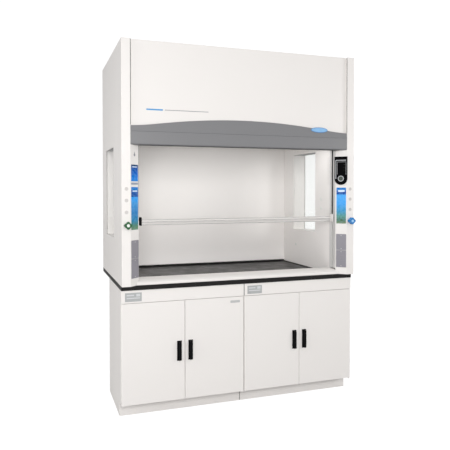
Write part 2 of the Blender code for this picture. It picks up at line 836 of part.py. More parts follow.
def bearing_bracket(name, side):
    """A plate beside the pulleys, with a bearing boss for the end of each shaft."""
    wall = side * (INNER_HALF - GAP)
    low = SHAFT_Z - 0.7 * INCH
    high = SHAFT_Z + 0.7 * INCH
    plate = block_between(
        name,
        (wall, back(4.9 * INCH), low),
        (wall - side * 0.12 * INCH, back(DEPTH - SHEET) - GAP, high),
    )
    for setback in (FRONT_SHAFT_BACK, REAR_SHAFT_BACK):
        y = back(setback)
        boss = rod(
            name + "_boss",
            0.6 * INCH,
            (side * 30.45 * INCH, y, SHAFT_Z),
            (side * 30.95 * INCH, y, SHAFT_Z),
        )
        join(plate, boss)
    for setback in (FRONT_SHAFT_BACK, REAR_SHAFT_BACK):
        y = back(setback)
        bore = rod(
            name + "_bore",
            SHAFT_RADIUS + GAP,
            (side * 30 * INCH, y, SHAFT_Z),
            (side * 31.5 * INCH, y, SHAFT_Z),
        )
        cut(plate, bore)
    place(plate, "steel")


def cable(name, points):
    """A cable along straight runs and arcs."""
    curve = bpy.data.curves.new(name, "CURVE")
    curve.dimensions = "3D"
    curve.bevel_depth = CABLE_RADIUS
    curve.bevel_resolution = 2
    curve.use_fill_caps = True
    spline = curve.splines.new("POLY")
    spline.points.add(len(points) - 1)
    for point, where in zip(spline.points, points):
        point.co = (*where, 1)
    place(bpy.data.objects.new(name, curve), "steel")


def cables():
    """Each cable runs from the sash over both pulleys to the weight, and is made in three stretches."""
    front_y = back(FRONT_SHAFT_BACK - PULLEY_RADIUS)
    rear_y = back(REAR_SHAFT_BACK + PULLEY_RADIUS)
    lug_top = GLASS_TOP + LUG_RISE
    quarter = [math.radians(90 * step / 6) for step in range(7)]
    for name, x in (("left", -CABLE_X), ("right", CABLE_X)):
        cable(name + "_front_cable", [(x, front_y, lug_top + GAP), (x, front_y, SHAFT_Z - GAP)])
        cable(name + "_rear_cable", [(x, rear_y, WEIGHT_TOP + GAP), (x, rear_y, SHAFT_Z - GAP)])
        up = []
        down = []
        for angle in quarter:
            near = PULLEY_RADIUS * math.cos(angle)
            far = PULLEY_RADIUS * math.sin(angle)
            up.append((x, back(FRONT_SHAFT_BACK) - near, SHAFT_Z + far))
            down.append((x, back(REAR_SHAFT_BACK) + far, SHAFT_Z + near))
        cable(name + "_top_cable", up + down)


def counterweight():
    hanger = empty("counterweight_carrier", (0, back(REAR_SHAFT_BACK + PULLEY_RADIUS), WEIGHT_TOP))
    bar = block(
        "counterweight_bar",
        (-30.3 * INCH, -0.55 * INCH, -WEIGHT_TALL),
        (30.3 * INCH, 0.55 * INCH, 0),
    )
    soften(bar, 0.06 * INCH, 1)
    place(bar, "cast_iron", hanger)


# Controls and services ----------------------------------------------------------------------------


def strip_frame(side):
    """The middle of an angled strip: local -Y points out of it and local +X to the viewer's right."""
    run = Vector((POST_X - INNER_HALF, STRIP_BACK))
    turn = math.atan2(run.y, run.x)
    middle = (side * (POST_X + INNER_HALF) / 2, back(STRIP_BACK / 2), 0)
    name = "right_strip" if side > 0 else "left_strip"
    return empty(name, middle, -side * turn)


def shield(half_wide, top, middle):
    """A rectangle with a half-round lower end."""
    steps = 12
    points = [(-half_wide, top), (half_wide, top)]
    for step in range(steps + 1):
        angle = math.pi * step / steps
        points.append((half_wide * math.cos(angle), middle - half_wide * math.sin(angle)))
    return points


def monitor(frame):
    half = MONITOR_RADIUS
    shape = [(x + MONITOR_SHIFT, z) for x, z in shield(half, MONITOR_TOP, MONITOR_Z)]
    face = -GAP - MONITOR_DEEP
    housing = prism("monitor_housing", shape, face, -GAP, "y")
    pocket = rod(
        "button_pocket",
        0.66 * INCH,
        (MONITOR_SHIFT, face - INCH, MONITOR_Z),
        (MONITOR_SHIFT, face + 0.3 * INCH, MONITOR_Z),
    )
    pocket.parent = frame
    cut(housing, pocket)
    place(housing, "black_plastic", frame)

    inset = 0.1 * INCH
    inner = shield(half - inset, MONITOR_TOP - inset, MONITOR_Z)
    lens_back = face - GAP
    lens_front = lens_back - 0.06 * INCH
    lens = prism("monitor_lens", [(x + MONITOR_SHIFT, z) for x, z in inner], lens_front, lens_back, "y")
    hole = rod(
        "lens_hole",
        0.64 * INCH,
        (MONITOR_SHIFT, lens_front - INCH, MONITOR_Z),
        (MONITOR_SHIFT, lens_back + 0.1 * INCH, MONITOR_Z),
    )
    hole.parent = frame
    cut(lens, hole)
    place(lens, "black_plastic", frame)

    button = rod(
        "monitor_button",
        0.6 * INCH,
        (MONITOR_SHIFT, lens_front - 0.1 * INCH, MONITOR_Z),
        (MONITOR_SHIFT, face + 0.2 * INCH, MONITOR_Z),
        24,
    )
    place(button, "grey_plastic", frame)


def service_plate(name, frame):
    """A tall cover plate over two wall boxes, grooved where the boxes part."""
    plate = block(
        name, (-PLATE_WIDE / 2, -GAP - PLATE_THICK, PLATE_BOTTOM), (PLATE_WIDE / 2, -GAP, PLATE_TOP)
    )
    groove = block(
        name + "_groove",
        (-PLATE_WIDE, -INCH, PLATE_SPLIT - 0.05 * INCH),
        (PLATE_WIDE, -GAP - PLATE_THICK / 3, PLATE_SPLIT + 0.05 * INCH),
    )
    groove.parent = frame
    cut(plate, groove)
    place(plate, "grey_plastic", frame)
    return plate


def sockets(plate, frame):
    """A raised face with two pairs of upright slots, in the lower half of a service plate."""
    middle = PLATE_BOTTOM + 2.3 * INCH
    face = block(
        "socket_face",
        (-0.68 * INCH, -GAP - PLATE_THICK - 0.08 * INCH, middle - 1.3 * INCH),
        (0.68 * INCH, -GAP - PLATE_THICK / 2, middle + 1.3 * INCH),
    )
    face.parent = frame
    join(plate, face)
    for z in (middle - 0.7 * INCH, middle + 0.7 * INCH):
        for x in (-0.25 * INCH, 0.25 * INCH):
            slot = block(
                "socket_slot",
                (x - 0.06 * INCH, -INCH, z - 0.18 * INCH),
                (x + 0.06 * INCH, -GAP - 0.03 * INCH, z + 0.18 * INCH),
            )
            slot.parent = frame
            cut(plate, slot)


def strip_services():
    left = strip_frame(-1)
    right = strip_frame(1)
    service_plate("left_service_plate", left)
    sockets(service_plate("right_service_plate", right), right)
    monitor(right)


def lobed(radius, lobe, points=32):
    result = []
    for step in range(points):
        angle = 2 * math.pi * step / points
        reach = radius + lobe * math.cos(4 * angle)
        result.append((reach * math.cos(angle), reach * math.sin(angle)))
    return result


def valve_knob(name, side, finish):
    """A four-lobed grip on a stem that passes through the post."""
    axis = empty(name + "_axis", (side * KNOB_X, FRONT, KNOB_Z))
    grip = prism(name, lobed(0.92 * INCH, 0.12 * INCH), -KNOB_REACH, -0.6 * INCH, "y")
    neck = rod(name + "_neck", 0.5 * INCH, (0, -0.75 * INCH, 0), (0, -0.04 * INCH, 0), 20)
    stem = rod(name + "_stem", STEM_RADIUS, (0, -0.2 * INCH, 0), (0, 1.4 * INCH, 0), 12)
    neck.parent = axis
    stem.parent = axis
    join(grip, neck, stem)
    place(grip, finish, axis)


def valve_body(name, side):
    x = side * KNOB_X
    body = rod(name, 0.7 * INCH, (x, back(SHEET) + GAP, KNOB_Z), (x, back(2.2 * INCH), KNOB_Z))
    bore = rod(name + "_bore", STEM_RADIUS + GAP, (x, FRONT, KNOB_Z), (x, back(1.6 * INCH), KNOB_Z), 12)
    cut(body, bore)
    place(body, "brass")


def valves():
    for name, side, finish in (("left", -1, "knob_green"), ("right", 1, "knob_blue")):
        valve_knob(name + "_valve_knob", side, finish)
        valve_body(name + "_valve_body", side)


# Filters and fans ---------------------------------------------------------------------------------


def filters():
    cartridge = block(
        "filter_bank",
        (-PLENUM_HALF, back(PLENUM_FRONT), FILTER_BOTTOM),
        (PLENUM_HALF, back(PLENUM_REAR), FILTER_TOP),
    )
    soften(cartridge, 0.1 * INCH, 1)
    place(cartridge, "filter_grey")


def plenum():
    """A box over the filters, open below, with two round outlets and a motor under each crossbar."""
    low = FILTER_TOP + GAP
    front = back(PLENUM_FRONT)
    rear = back(PLENUM_REAR)
    y = back(FAN_BACK)
    box = block("fan_plenum", (-PLENUM_HALF, front, low), (PLENUM_HALF, rear, PLENUM_TOP))
    inside = block(
        "plenum_inside",
        (-PLENUM_HALF + SHEET, front + SHEET, low - INCH),
        (PLENUM_HALF - SHEET, rear - SHEET, PLENUM_TOP - SHEET),
    )
    cut(box, inside)
    for x in (-FAN_X, FAN_X):
        above = PLENUM_TOP + 0.4 * INCH
        outlet = rod("outlet", FAN_RADIUS + 0.6 * INCH, (x, y, PLENUM_TOP - INCH), (x, y, above), 32)
        bar = block(
            "crossbar",
            (x - 0.7 * INCH, y - 8 * INCH, PLENUM_TOP - 0.03 * INCH),
            (x + 0.7 * INCH, y + 8 * INCH, above),
        )
        motor = rod("motor", 1.6 * INCH, (x, y, MOTOR_BOTTOM), (x, y, PLENUM_TOP + 0.2 * INCH))
        bore = rod("motor_bore", 0.25 * INCH + GAP, (x, y, FAN_BOTTOM), (x, y, 95.2 * INCH), 12)
        cut(box, outlet)
        join(box, bar, motor)
        cut(box, bore)
    place(box, "steel")


def impeller(name, x):
    """A backplate with curved blades and a front ring, hung from the motor's shaft."""
    axis = empty(name + "_axis", (x, back(FAN_BACK), FAN_BOTTOM))
    plate_low = 3.6 * INCH
    plate_high = 3.8 * INCH
    plate = rod(name, FAN_RADIUS, (0, 0, plate_low), (0, 0, plate_high), 32)
    hub = rod(name + "_hub", 0.8 * INCH, (0, 0, 2.9 * INCH), (0, 0, 3.95 * INCH), 16)
    shaft = rod(name + "_shaft", 0.25 * INCH, (0, 0, 3.5 * INCH), (0, 0, 5.0 * INCH), 12)
    ring = rod(name + "_ring", FAN_RADIUS, (0, 0, 0), (0, 0, 0.15 * INCH), 32)
    eye = rod(name + "_eye", 4.0 * INCH, (0, 0, -INCH), (0, 0, INCH), 32)
    pieces = [hub, shaft, ring]
    eye.parent = axis
    cut(ring, eye)
    for step in range(7):
        blade = block("blade", (-0.05 * INCH, -1.2 * INCH, 0.1 * INCH), (0.05 * INCH, 1.2 * INCH, 3.65 * INCH))
        angle = 2 * math.pi * step / 7
        blade.location.x = 4.7 * INCH * math.cos(angle)
        blade.location.y = 4.7 * INCH * math.sin(angle)
        blade.rotation_euler = (0, 0, angle + math.radians(50))
        pieces.append(blade)
    for piece in pieces:
        piece.parent = axis
    join(plate, *pieces)
    place(plate, "black_plastic", axis)


clear_scene()
parts = make_collection("fume_hood")
cutters = make_collection("cutters")
make_materials()
cabinets()
worksurface()
airfoil()
side_shell("left", -1)
side_shell("right", 1)
windows()
rear_and_inside()
roof()
upper_front()
header()
sash()
pulley_shaft("front_pulley_shaft", FRONT_SHAFT_BACK)
pulley_shaft("rear_pulley_shaft", REAR_SHAFT_BACK)
bearing_bracket("left_pulley_bracket", -1)
bearing_bracket("right_pulley_bracket", 1)
cables()
counterweight()
strip_services()
valves()
filters()
plenum()
impeller("left_fan_impeller", -FAN_X)
impeller("right_fan_impeller", FAN_X)
bpy.context.view_layer.update()
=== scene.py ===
import math

import bmesh
import bpy
from mathutils import Euler, Matrix, Vector


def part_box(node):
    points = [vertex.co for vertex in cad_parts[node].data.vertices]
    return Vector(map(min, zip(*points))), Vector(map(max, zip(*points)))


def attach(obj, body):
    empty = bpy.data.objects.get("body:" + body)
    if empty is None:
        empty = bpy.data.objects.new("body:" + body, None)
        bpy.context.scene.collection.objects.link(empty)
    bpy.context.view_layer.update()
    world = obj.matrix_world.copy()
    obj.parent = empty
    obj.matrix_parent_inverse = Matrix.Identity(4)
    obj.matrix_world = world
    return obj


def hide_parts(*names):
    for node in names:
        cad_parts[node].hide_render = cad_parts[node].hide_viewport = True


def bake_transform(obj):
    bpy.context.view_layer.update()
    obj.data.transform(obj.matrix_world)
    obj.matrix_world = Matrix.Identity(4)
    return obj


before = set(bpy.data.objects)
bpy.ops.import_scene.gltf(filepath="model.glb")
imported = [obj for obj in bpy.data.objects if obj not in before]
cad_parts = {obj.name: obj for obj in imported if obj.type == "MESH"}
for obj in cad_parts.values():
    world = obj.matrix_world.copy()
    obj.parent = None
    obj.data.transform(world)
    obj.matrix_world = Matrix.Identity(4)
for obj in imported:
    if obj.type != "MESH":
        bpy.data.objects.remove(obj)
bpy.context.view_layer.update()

inch = 0.0254


def lowHigh(node):
    low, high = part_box(node)
    return low.copy(), high.copy()


# modelling helpers: each leaves only its own piece selected

def pickNone():
    if bpy.context.mode != "OBJECT":
        bpy.ops.object.mode_set(mode="OBJECT")
    bpy.ops.object.select_all(action="DESELECT")


def pickOnly(piece):
    pickNone()
    piece.select_set(True)
    bpy.context.view_layer.objects.active = piece


def bake(piece):
    pickOnly(piece)
    bpy.ops.object.transform_apply(location=True, rotation=True, scale=True)
    return piece


def startBox(name, low, high):
    low, high = Vector(low), Vector(high)
    pickNone()
    bpy.ops.mesh.primitive_cube_add(size=1, location=(low + high) / 2)
    piece = bpy.context.object
    piece.name = name
    piece.scale = high - low
    return bake(piece)


def startRound(name, radius, start, end, sides=48):
    start, end = Vector(start), Vector(end)
    run = end - start
    pickNone()
    bpy.ops.mesh.primitive_cylinder_add(vertices=sides, radius=radius, depth=run.length,
                                        location=(start + end) / 2,
                                        rotation=run.to_track_quat("Z", "Y").to_euler())
    piece = bpy.context.object
    piece.name = name
    return bake(piece)


def startPeg(name, radius, x, z, start, end, sides=64):
    # a round that runs along Y: radius, x and z in inches, its ends in metres
    return startRound(name, radius * inch, (x * inch, start, z * inch), (x * inch, end, z * inch), sides)


def startFlat(name, outline, low, high, axis="z"):
    # a closed flat outline given its thickness from low to high along the axis
    curve = bpy.data.curves.new(name, "CURVE")
    curve.dimensions = "2D"
    curve.fill_mode = "BOTH"
    curve.extrude = abs(high - low) / 2
    spline = curve.splines.new("POLY")
    spline.points.add(len(outline) - 1)
    for point, (u, v) in zip(spline.points, outline):
        point.co = (u, v, 0, 1)
    spline.use_cyclic_u = True
    piece = bpy.data.objects.new(name, curve)
    bpy.context.scene.collection.objects.link(piece)
    middle = (low + high) / 2
    quarter = math.pi / 2
    piece.rotation_euler = {"x": (quarter, 0, quarter), "y": (quarter, 0, 0), "z": (0, 0, 0)}[axis]
    piece.location = {"x": (middle, 0, 0), "y": (0, middle, 0), "z": (0, 0, middle)}[axis]
    pickOnly(piece)
    bpy.ops.object.convert(target="MESH")
    return mergeAndTurnOut(bake(piece))


def mergeAndTurnOut(piece, distance=1e-6):
    pickOnly(piece)
    bpy.ops.object.mode_set(mode="EDIT")
    bpy.ops.mesh.select_all(action="SELECT")
    bpy.ops.mesh.remove_doubles(threshold=distance)
    bpy.ops.mesh.normals_make_consistent(inside=False)
    bpy.ops.object.mode_set(mode="OBJECT")
    return piece


def applyAll(piece):
    pickOnly(piece)
    for modifier in list(piece.modifiers):
        bpy.ops.object.modifier_apply(modifier=modifier.name)
    return piece


def roundEdges(piece, width, segments=3, angle=35):
    # the width is in inches
    bevel = piece.modifiers.new("roundEdges", "BEVEL")
    bevel.width = width * inch
    bevel.segments = segments
    bevel.limit_method = "ANGLE"
    bevel.angle_limit = math.radians(angle)
    bevel.harden_normals = False
    return applyAll(piece)


def combine(piece, operation, others):
    for other in others:
        change = piece.modifiers.new("combine", "BOOLEAN")
        change.operation = operation
        change.object = other
        applyAll(piece)
        bpy.data.objects.remove(other, do_unlink=True)
    return piece


def cutAway(piece, *cutters):
    return combine(piece, "DIFFERENCE", cutters)


def gather(name, pieces):
    # several small solids of one kind kept as one piece
    pickNone()
    for piece in pieces:
        piece.select_set(True)
    bpy.context.view_layer.objects.active = pieces[0]
    bpy.ops.object.join()
    joined = bpy.context.object
    joined.name = name
    return joined


def editWhere(piece, kind, test):
    # edit mode, with only the faces or edges that pass the test selected
    pickOnly(piece)
    bpy.ops.object.mode_set(mode="EDIT")
    bpy.ops.mesh.select_all(action="DESELECT")
    bpy.ops.mesh.select_mode(type=kind)
    cage = bmesh.from_edit_mesh(piece.data)
    for element in (cage.faces if kind == "FACE" else cage.edges):
        element.select_set(test(element))
    cage.select_flush_mode()
    bmesh.update_edit_mesh(piece.data)


def towardFront(face):
    return face.normal.y < -0.9


def insetFaces(piece, test, *steps):
    # each step gives an inset's width and how far it rises, in inches
    editWhere(piece, "FACE", test)
    for width, rise in steps:
        bpy.ops.mesh.inset(thickness=width * inch, depth=rise * inch)
    bpy.ops.object.mode_set(mode="OBJECT")


def moved(piece, matrix):
    # the piece moved and turned for good
    piece.data.transform(matrix)
    piece.data.update()
    return piece


def finishPiece(piece, material, body="root", stands=(), smooth=35):
    pickOnly(piece)
    bpy.ops.object.shade_smooth_by_angle(angle=math.radians(smooth))
    weigh = piece.modifiers.new("weigh", "WEIGHTED_NORMAL")  # keeps the broad faces flat beside their bevels
    weigh.keep_sharp = True
    applyAll(piece)
    piece.data.materials.clear()
    piece.data.materials.append(material)
    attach(piece, body)
    if stands:
        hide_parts(*stands)
    return piece


# shader helpers: an input takes another node's output or a plain value

def wire(tree, source, target):
    if isinstance(source, bpy.types.NodeSocket):
        tree.links.new(source, target)
    else:
        target.default_value = source


def addNode(tree, kind, inputs=None, **settings):
    node = tree.nodes.new(kind)
    for label, value in settings.items():
        setattr(node, label, value)
    for label, value in (inputs or {}).items():
        wire(tree, value, node.inputs[label])
    return node


def compute(tree, operation, *values, clamp=False):
    inputs = dict(enumerate(values))
    return addNode(tree, "ShaderNodeMath", inputs, operation=operation, use_clamp=clamp).outputs[0]


def mixed(tree, share, one, other, kind="RGBA", **settings):
    first, result = {"FLOAT": (2, 0), "RGBA": (6, 2)}[kind]
    inputs = {0: share, first: one, first + 1: other}
    return addNode(tree, "ShaderNodeMix", inputs, data_type=kind, **settings).outputs[result]


def mixedShaders(tree, share, one, other, target):
    wire(tree, addNode(tree, "ShaderNodeMixShader", {0: share, 1: one, 2: other}).outputs[0], target)


def onObject(tree):
    return addNode(tree, "ShaderNodeTexCoord").outputs["Object"]


def heightOf(tree, place):
    return addNode(tree, "ShaderNodeSeparateXYZ", {0: place}).outputs["Z"]


def noiseAt(tree, place, scale, detail=3, roughness=0.55):
    inputs = {"Vector": place, "Scale": scale, "Detail": detail, "Roughness": roughness}
    return addNode(tree, "ShaderNodeTexNoise", inputs).outputs["Fac"]


def bandsAt(tree, place, direction, scale, distortion=0.0, **settings):
    inputs = {"Vector": place, "Scale": scale, "Distortion": distortion}
    return addNode(tree, "ShaderNodeTexWave", inputs, wave_type="BANDS", bands_direction=direction,
                   **settings).outputs["Fac"]


def mapTo(tree, value, low, high, fromLow=0.3, fromHigh=0.7):
    inputs = {"Value": value, "From Min": fromLow, "From Max": fromHigh, "To Min": low, "To Max": high}
    return addNode(tree, "ShaderNodeMapRange", inputs).outputs["Result"]


def scaled(tree, vector, amount):
    return addNode(tree, "ShaderNodeVectorMath", {0: vector, "Scale": amount}, operation="SCALE").outputs[0]


# surface effects that several finishes share

def newGroup(name, inputs, outputs):
    group = bpy.data.node_groups.new(name, "ShaderNodeTree")
    kinds = {3: "NodeSocketVector", 4: "NodeSocketColor"}
    for label, value in inputs.items():
        kind = kinds[len(value)] if isinstance(value, tuple) else "NodeSocketFloat"
        group.interface.new_socket(label, in_out="INPUT", socket_type=kind).default_value = value
    for label in outputs:
        kind = "NodeSocketColor" if label == "Colour" else "NodeSocketFloat"
        group.interface.new_socket(label, in_out="OUTPUT", socket_type=kind)
    return group, group.nodes.new("NodeGroupInput").outputs, group.nodes.new("NodeGroupOutput").inputs


def makeSkinGroup():
    # colour drift, smudges and the fine orange peel of a coated or moulded surface
    inputs = {"Colour": (0.8, 0.8, 0.8, 1), "Drift": 0.03, "Roughness": 0.35, "Smudge": 0.08, "Peel Scale": 900.0}
    group, given, out = newGroup("coatedSkin", inputs, ("Colour", "Roughness", "Height"))
    where = onObject(group)
    patches = mixed(group, 0.35, noiseAt(group, where, 2.3, 4), noiseAt(group, where, 38, 3), "FLOAT")
    tone = compute(group, "MULTIPLY_ADD", compute(group, "SUBTRACT", patches, 0.5), given["Drift"], 1.0)
    wire(group, scaled(group, given["Colour"], tone), out["Colour"])
    wipes = mapTo(group, noiseAt(group, where, 6.5, 5, 0.65), -1.0, 1.0)
    wire(group, compute(group, "MULTIPLY_ADD", wipes, given["Smudge"], given["Roughness"]), out["Roughness"])
    wire(group, noiseAt(group, where, given["Peel Scale"], 2, 0.5), out["Height"])
    return group


def makeDustGroup():
    # a little dust and scuffing low down
    group, given, out = newGroup("floorDust", {"Colour": (0.8, 0.8, 0.8, 1), "Dust": (0.45, 0.42, 0.38, 1),
                                               "Reach": 0.12, "Amount": 0.25}, ("Colour",))
    where = onObject(group)
    fall = compute(group, "DIVIDE", heightOf(group, where), given["Reach"])
    nearFloor = compute(group, "SUBTRACT", 1.0, fall, clamp=True)
    patches = mapTo(group, noiseAt(group, where, 60, 5, 0.7), 0.2, 1.0)
    broken = compute(group, "MULTIPLY", nearFloor, patches, clamp=True)
    share = compute(group, "MULTIPLY", broken, given["Amount"], clamp=True)
    wire(group, mixed(group, share, given["Colour"], given["Dust"]), out["Colour"])
    return group


def makeBrushGroup():
    # long fine scratches along one axis, for rolled and brushed metal
    group, given, out = newGroup("brushedGrain", {"Colour": (0.7, 0.7, 0.7, 1), "Stretch": (1, 60, 60),
                                                  "Strength": 0.1, "Roughness": 0.3},
                                 ("Colour", "Roughness", "Height"))
    inputs = {0: onObject(group), 1: given["Stretch"]}
    pull = addNode(group, "ShaderNodeVectorMath", inputs, operation="MULTIPLY")
    grain = noiseAt(group, pull.outputs[0], 14, 4, 0.7)
    centred = compute(group, "SUBTRACT", grain, 0.5)
    tone = compute(group, "MULTIPLY_ADD", centred, given["Strength"], 1.0)
    wire(group, scaled(group, given["Colour"], tone), out["Colour"])
    rough = compute(group, "MULTIPLY_ADD", centred, given["Strength"], given["Roughness"])
    wire(group, rough, out["Roughness"])
    wire(group, grain, out["Height"])
    return group


skinGroup = makeSkinGroup()
dustGroup = makeDustGroup()
brushGroup = makeBrushGroup()


# finishes

def newMaterial(name, metallic=0.0, coat=0.0, specular=0.5):
    material = bpy.data.materials.new(name)
    material.use_nodes = True
    tree = material.node_tree
    shader = tree.nodes["Principled BSDF"]
    for label, value in {"Metallic": metallic, "Coat Weight": coat, "Coat Roughness": 0.12,
                         "Specular IOR Level": specular}.items():
        shader.inputs[label].default_value = value
    return material, tree, shader


def placeGroup(tree, group, **values):
    inputs = {label.replace("_", " "): value for label, value in values.items()}
    return addNode(tree, "ShaderNodeGroup", inputs, node_tree=group).outputs


def dress(tree, shader, colour, roughness, height, strength, distance=0.0004):
    bump = addNode(tree, "ShaderNodeBump", {"Strength": strength, "Distance": distance, "Height": height})
    sources = {"Base Color": colour, "Roughness": roughness, "Normal": bump.outputs["Normal"]}
    for label, source in sources.items():
        wire(tree, source, shader.inputs[label])


def coated(name, colour, roughness, drift, smudge, bump=0.05, peel=900.0, dust=0.0, coat=0.0, specular=0.5):
    material, tree, shader = newMaterial(name, 0.0, coat, specular)
    skin = placeGroup(tree, skinGroup, Colour=(*colour, 1), Drift=drift, Roughness=roughness, Smudge=smudge,
                      Peel_Scale=peel)
    seen = skin["Colour"]
    if dust:
        seen = placeGroup(tree, dustGroup, Colour=seen, Amount=dust)["Colour"]
    dress(tree, shader, seen, skin["Roughness"], skin["Height"], bump)
    return material


def brushed(name, colour, stretch, roughness, strength, metallic=1.0):
    material, tree, shader = newMaterial(name, metallic)
    grain = placeGroup(tree, brushGroup, Colour=(*colour, 1), Stretch=stretch, Strength=strength,
                       Roughness=roughness)
    dress(tree, shader, grain["Colour"], grain["Roughness"], grain["Height"], 0.1, 0.0002)
    return material


# colour, roughness, colour drift, smudge, bump
whiteEnamel = coated("whiteEnamel", (0.82, 0.79, 0.765), 0.36, 0.018, 0.022, 0.08, dust=0.10)
doorEnamel = coated("doorEnamel", (0.82, 0.79, 0.765), 0.36, 0.016, 0.022, 0.08, dust=0.06)
linerWhite = coated("linerWhite", (0.87, 0.84, 0.82), 0.45, 0.02, 0.03, 0.12, peel=420.0)
# painted shade: a grey that stands for the shadow under the top of each window sleeve
jambShadeGrey = coated("jambShadeGrey", (0.20, 0.20, 0.20), 0.6, 0.06, 0.04, 0.08)
headerGrey = coated("headerGrey", (0.205, 0.205, 0.212), 0.42, 0.05, 0.03, 0.10)
blackTextured = coated("blackTextured", (0.0035, 0.0035, 0.004), 0.5, 0.2, 0.08, 0.25, peel=1600.0,
                       specular=0.12)
blackGloss = coated("blackGloss", (0.003, 0.003, 0.0035), 0.12, 0.1, 0.03, 0.02, specular=0.04)
greyPlate = coated("greyPlate", (0.27, 0.26, 0.29), 0.38, 0.06, 0.06, 0.18)
palePlug = coated("palePlug", (0.60, 0.57, 0.55), 0.45, 0.08, 0.05, 0.2)
paintedScrew = coated("paintedScrew", (0.70, 0.68, 0.66), 0.35, 0.05, 0.04, 0.06)
greenKnob = coated("greenKnob", (0.022, 0.115, 0.040), 0.28, 0.12, 0.08, 0.12)
blueKnob = coated("blueKnob", (0.02, 0.20, 0.52), 0.24, 0.12, 0.06, 0.10)
capWhite = coated("capWhite", (0.80, 0.84, 0.80), 0.2, 0.05, 0.04)
capBlue = coated("capBlue", (0.35, 0.60, 0.88), 0.2, 0.08, 0.04)
paleMark = coated("paleMark", (0.62, 0.64, 0.66), 0.35, 0.08, 0.05, 0.1)
printWhite = coated("printWhite", (0.66, 0.80, 0.95), 0.3, 0.06, 0.04)
greyBar = coated("greyBar", (0.30, 0.34, 0.42), 0.35, 0.08, 0.05, 0.08)
buttonDark = coated("buttonDark", (0.03, 0.045, 0.03), 0.35, 0.15, 0.06, 0.1)
lampDark = coated("lampDark", (0.05, 0.06, 0.05), 0.2, 0.1, 0.04, coat=0.4)
badgeRim = coated("badgeRim", (0.10, 0.26, 0.52), 0.3, 0.08, 0.05)
badgeBlue = coated("badgeBlue", (0.26, 0.50, 0.80), 0.25, 0.35, 0.05, coat=0.4)
dashBlue = coated("dashBlue", (0.10, 0.34, 0.66), 0.3, 0.2, 0.05)
platePale = coated("platePale", (0.42, 0.43, 0.43), 0.3, 0.06, 0.05, 0.06)
markPale = coated("markPale", (0.62, 0.63, 0.64), 0.3, 0.05, 0.05)
markGrey = coated("markGrey", (0.50, 0.50, 0.50), 0.35, 0.06, 0.05, 0.06)
rubberSeal = coated("rubberSeal", (0.015, 0.015, 0.016), 0.62, 0.2, 0.08, 0.25, peel=700.0)
lampOpal = coated("lampOpal", (0.86, 0.86, 0.84), 0.4, 0.02, 0.03, 0.08)
castPaint = coated("castPaint", (0.035, 0.037, 0.042), 0.6, 0.25, 0.1, 0.5, peel=260.0)

# colour, stretch of the scratches, roughness, strength
railMetal = brushed("railMetal", (0.78, 0.755, 0.735), (1.2, 90, 90), 0.42, 0.10, 0.35)
trackMetal = brushed("trackMetal", (0.66, 0.65, 0.64), (90, 90, 1.2), 0.5, 0.10, 0.15)
shaftSteel = brushed("shaftSteel", (0.60, 0.60, 0.61), (1.5, 120, 120), 0.28, 0.16)
sheetSteel = brushed("sheetSteel", (0.52, 0.53, 0.54), (30, 30, 2.0), 0.42, 0.22)
screwSteel = brushed("screwSteel", (0.66, 0.66, 0.66), (40, 40, 40), 0.3, 0.1)
valveBrass = brushed("valveBrass", (0.62, 0.43, 0.17), (60, 3, 60), 0.32, 0.15)


def makeResin():
    # honed black epoxy: fine mineral speckle and faint cloudy wipe marks
    material, tree, shader = newMaterial("blackResin", specular=0.3)
    skin = placeGroup(tree, skinGroup, Colour=(0.010, 0.0095, 0.009, 1), Drift=0.5, Roughness=0.36,
                      Smudge=0.09, Peel_Scale=520.0)
    speck = addNode(tree, "ShaderNodeTexVoronoi", {"Vector": onObject(tree), "Scale": 620})
    grit = mapTo(tree, speck.outputs["Distance"], 0.5, 0.0, 0.02, 0.16)
    colour = mixed(tree, grit, skin["Colour"], (0.05, 0.046, 0.043, 1))
    dress(tree, shader, colour, skin["Roughness"], skin["Height"], 0.18)
    return material


def makeGlass(name, tint, roughness=0.01, ior=1.5):
    # shadow rays pass, so that what stands behind a pane stays lit
    material, tree, shader = newMaterial(name)
    film = noiseAt(tree, onObject(tree), 5, 5, 0.6)
    wire(tree, mixed(tree, film, (*tint, 1), (*(0.97 * c for c in tint), 1)), shader.inputs["Base Color"])
    wire(tree, mapTo(tree, film, roughness, roughness + 0.02), shader.inputs["Roughness"])
    shader.inputs["Transmission Weight"].default_value = 1.0
    shader.inputs["IOR"].default_value = ior
    clear = addNode(tree, "ShaderNodeBsdfTransparent", {"Color": (0.95, 0.95, 0.945, 1)})
    rays = addNode(tree, "ShaderNodeLightPath").outputs
    passing = compute(tree, "MAXIMUM", rays["Is Shadow Ray"], rays["Is Diffuse Ray"])
    surface = tree.nodes["Material Output"].inputs["Surface"]
    mixedShaders(tree, passing, shader.outputs[0], clear.outputs[0], surface)
    return material


def makeFilter():
    # pleated media: its folds run front to back, and the colour darkens along each fold as painted shade in the
    # creases
    material, tree, shader = newMaterial("filterMedia")
    pleats = bandsAt(tree, onObject(tree), "X", 18, 0.4, wave_profile="TRI")
    skin = placeGroup(tree, skinGroup, Colour=(0.55, 0.55, 0.53, 1), Drift=0.15, Roughness=0.9, Smudge=0.03,
                      Peel_Scale=700.0)
    # painted shade: the pleat bands darken the colour in the creases; the same bands also drive the bump
    colour = mixed(tree, 0.5, skin["Colour"], pleats, blend_type="MULTIPLY")
    dress(tree, shader, colour, skin["Roughness"], pleats, 0.8, 0.004)
    return material


def makeStrands():
    # twisted strands, as bands that climb the wire; the colour is darker between the bands as painted shade in
    # the grooves
    material, tree, shader = newMaterial("twistedCable", metallic=1.0)
    strands = bandsAt(tree, onObject(tree), "DIAGONAL", 260)
    # painted shade: the colour darkens in the grooves between the strand bands
    colour = mixed(tree, strands, (0.30, 0.30, 0.31, 1), (0.62, 0.62, 0.63, 1))
    dress(tree, shader, colour, mapTo(tree, strands, 0.3, 0.45, 0, 1), strands, 0.5)
    return material


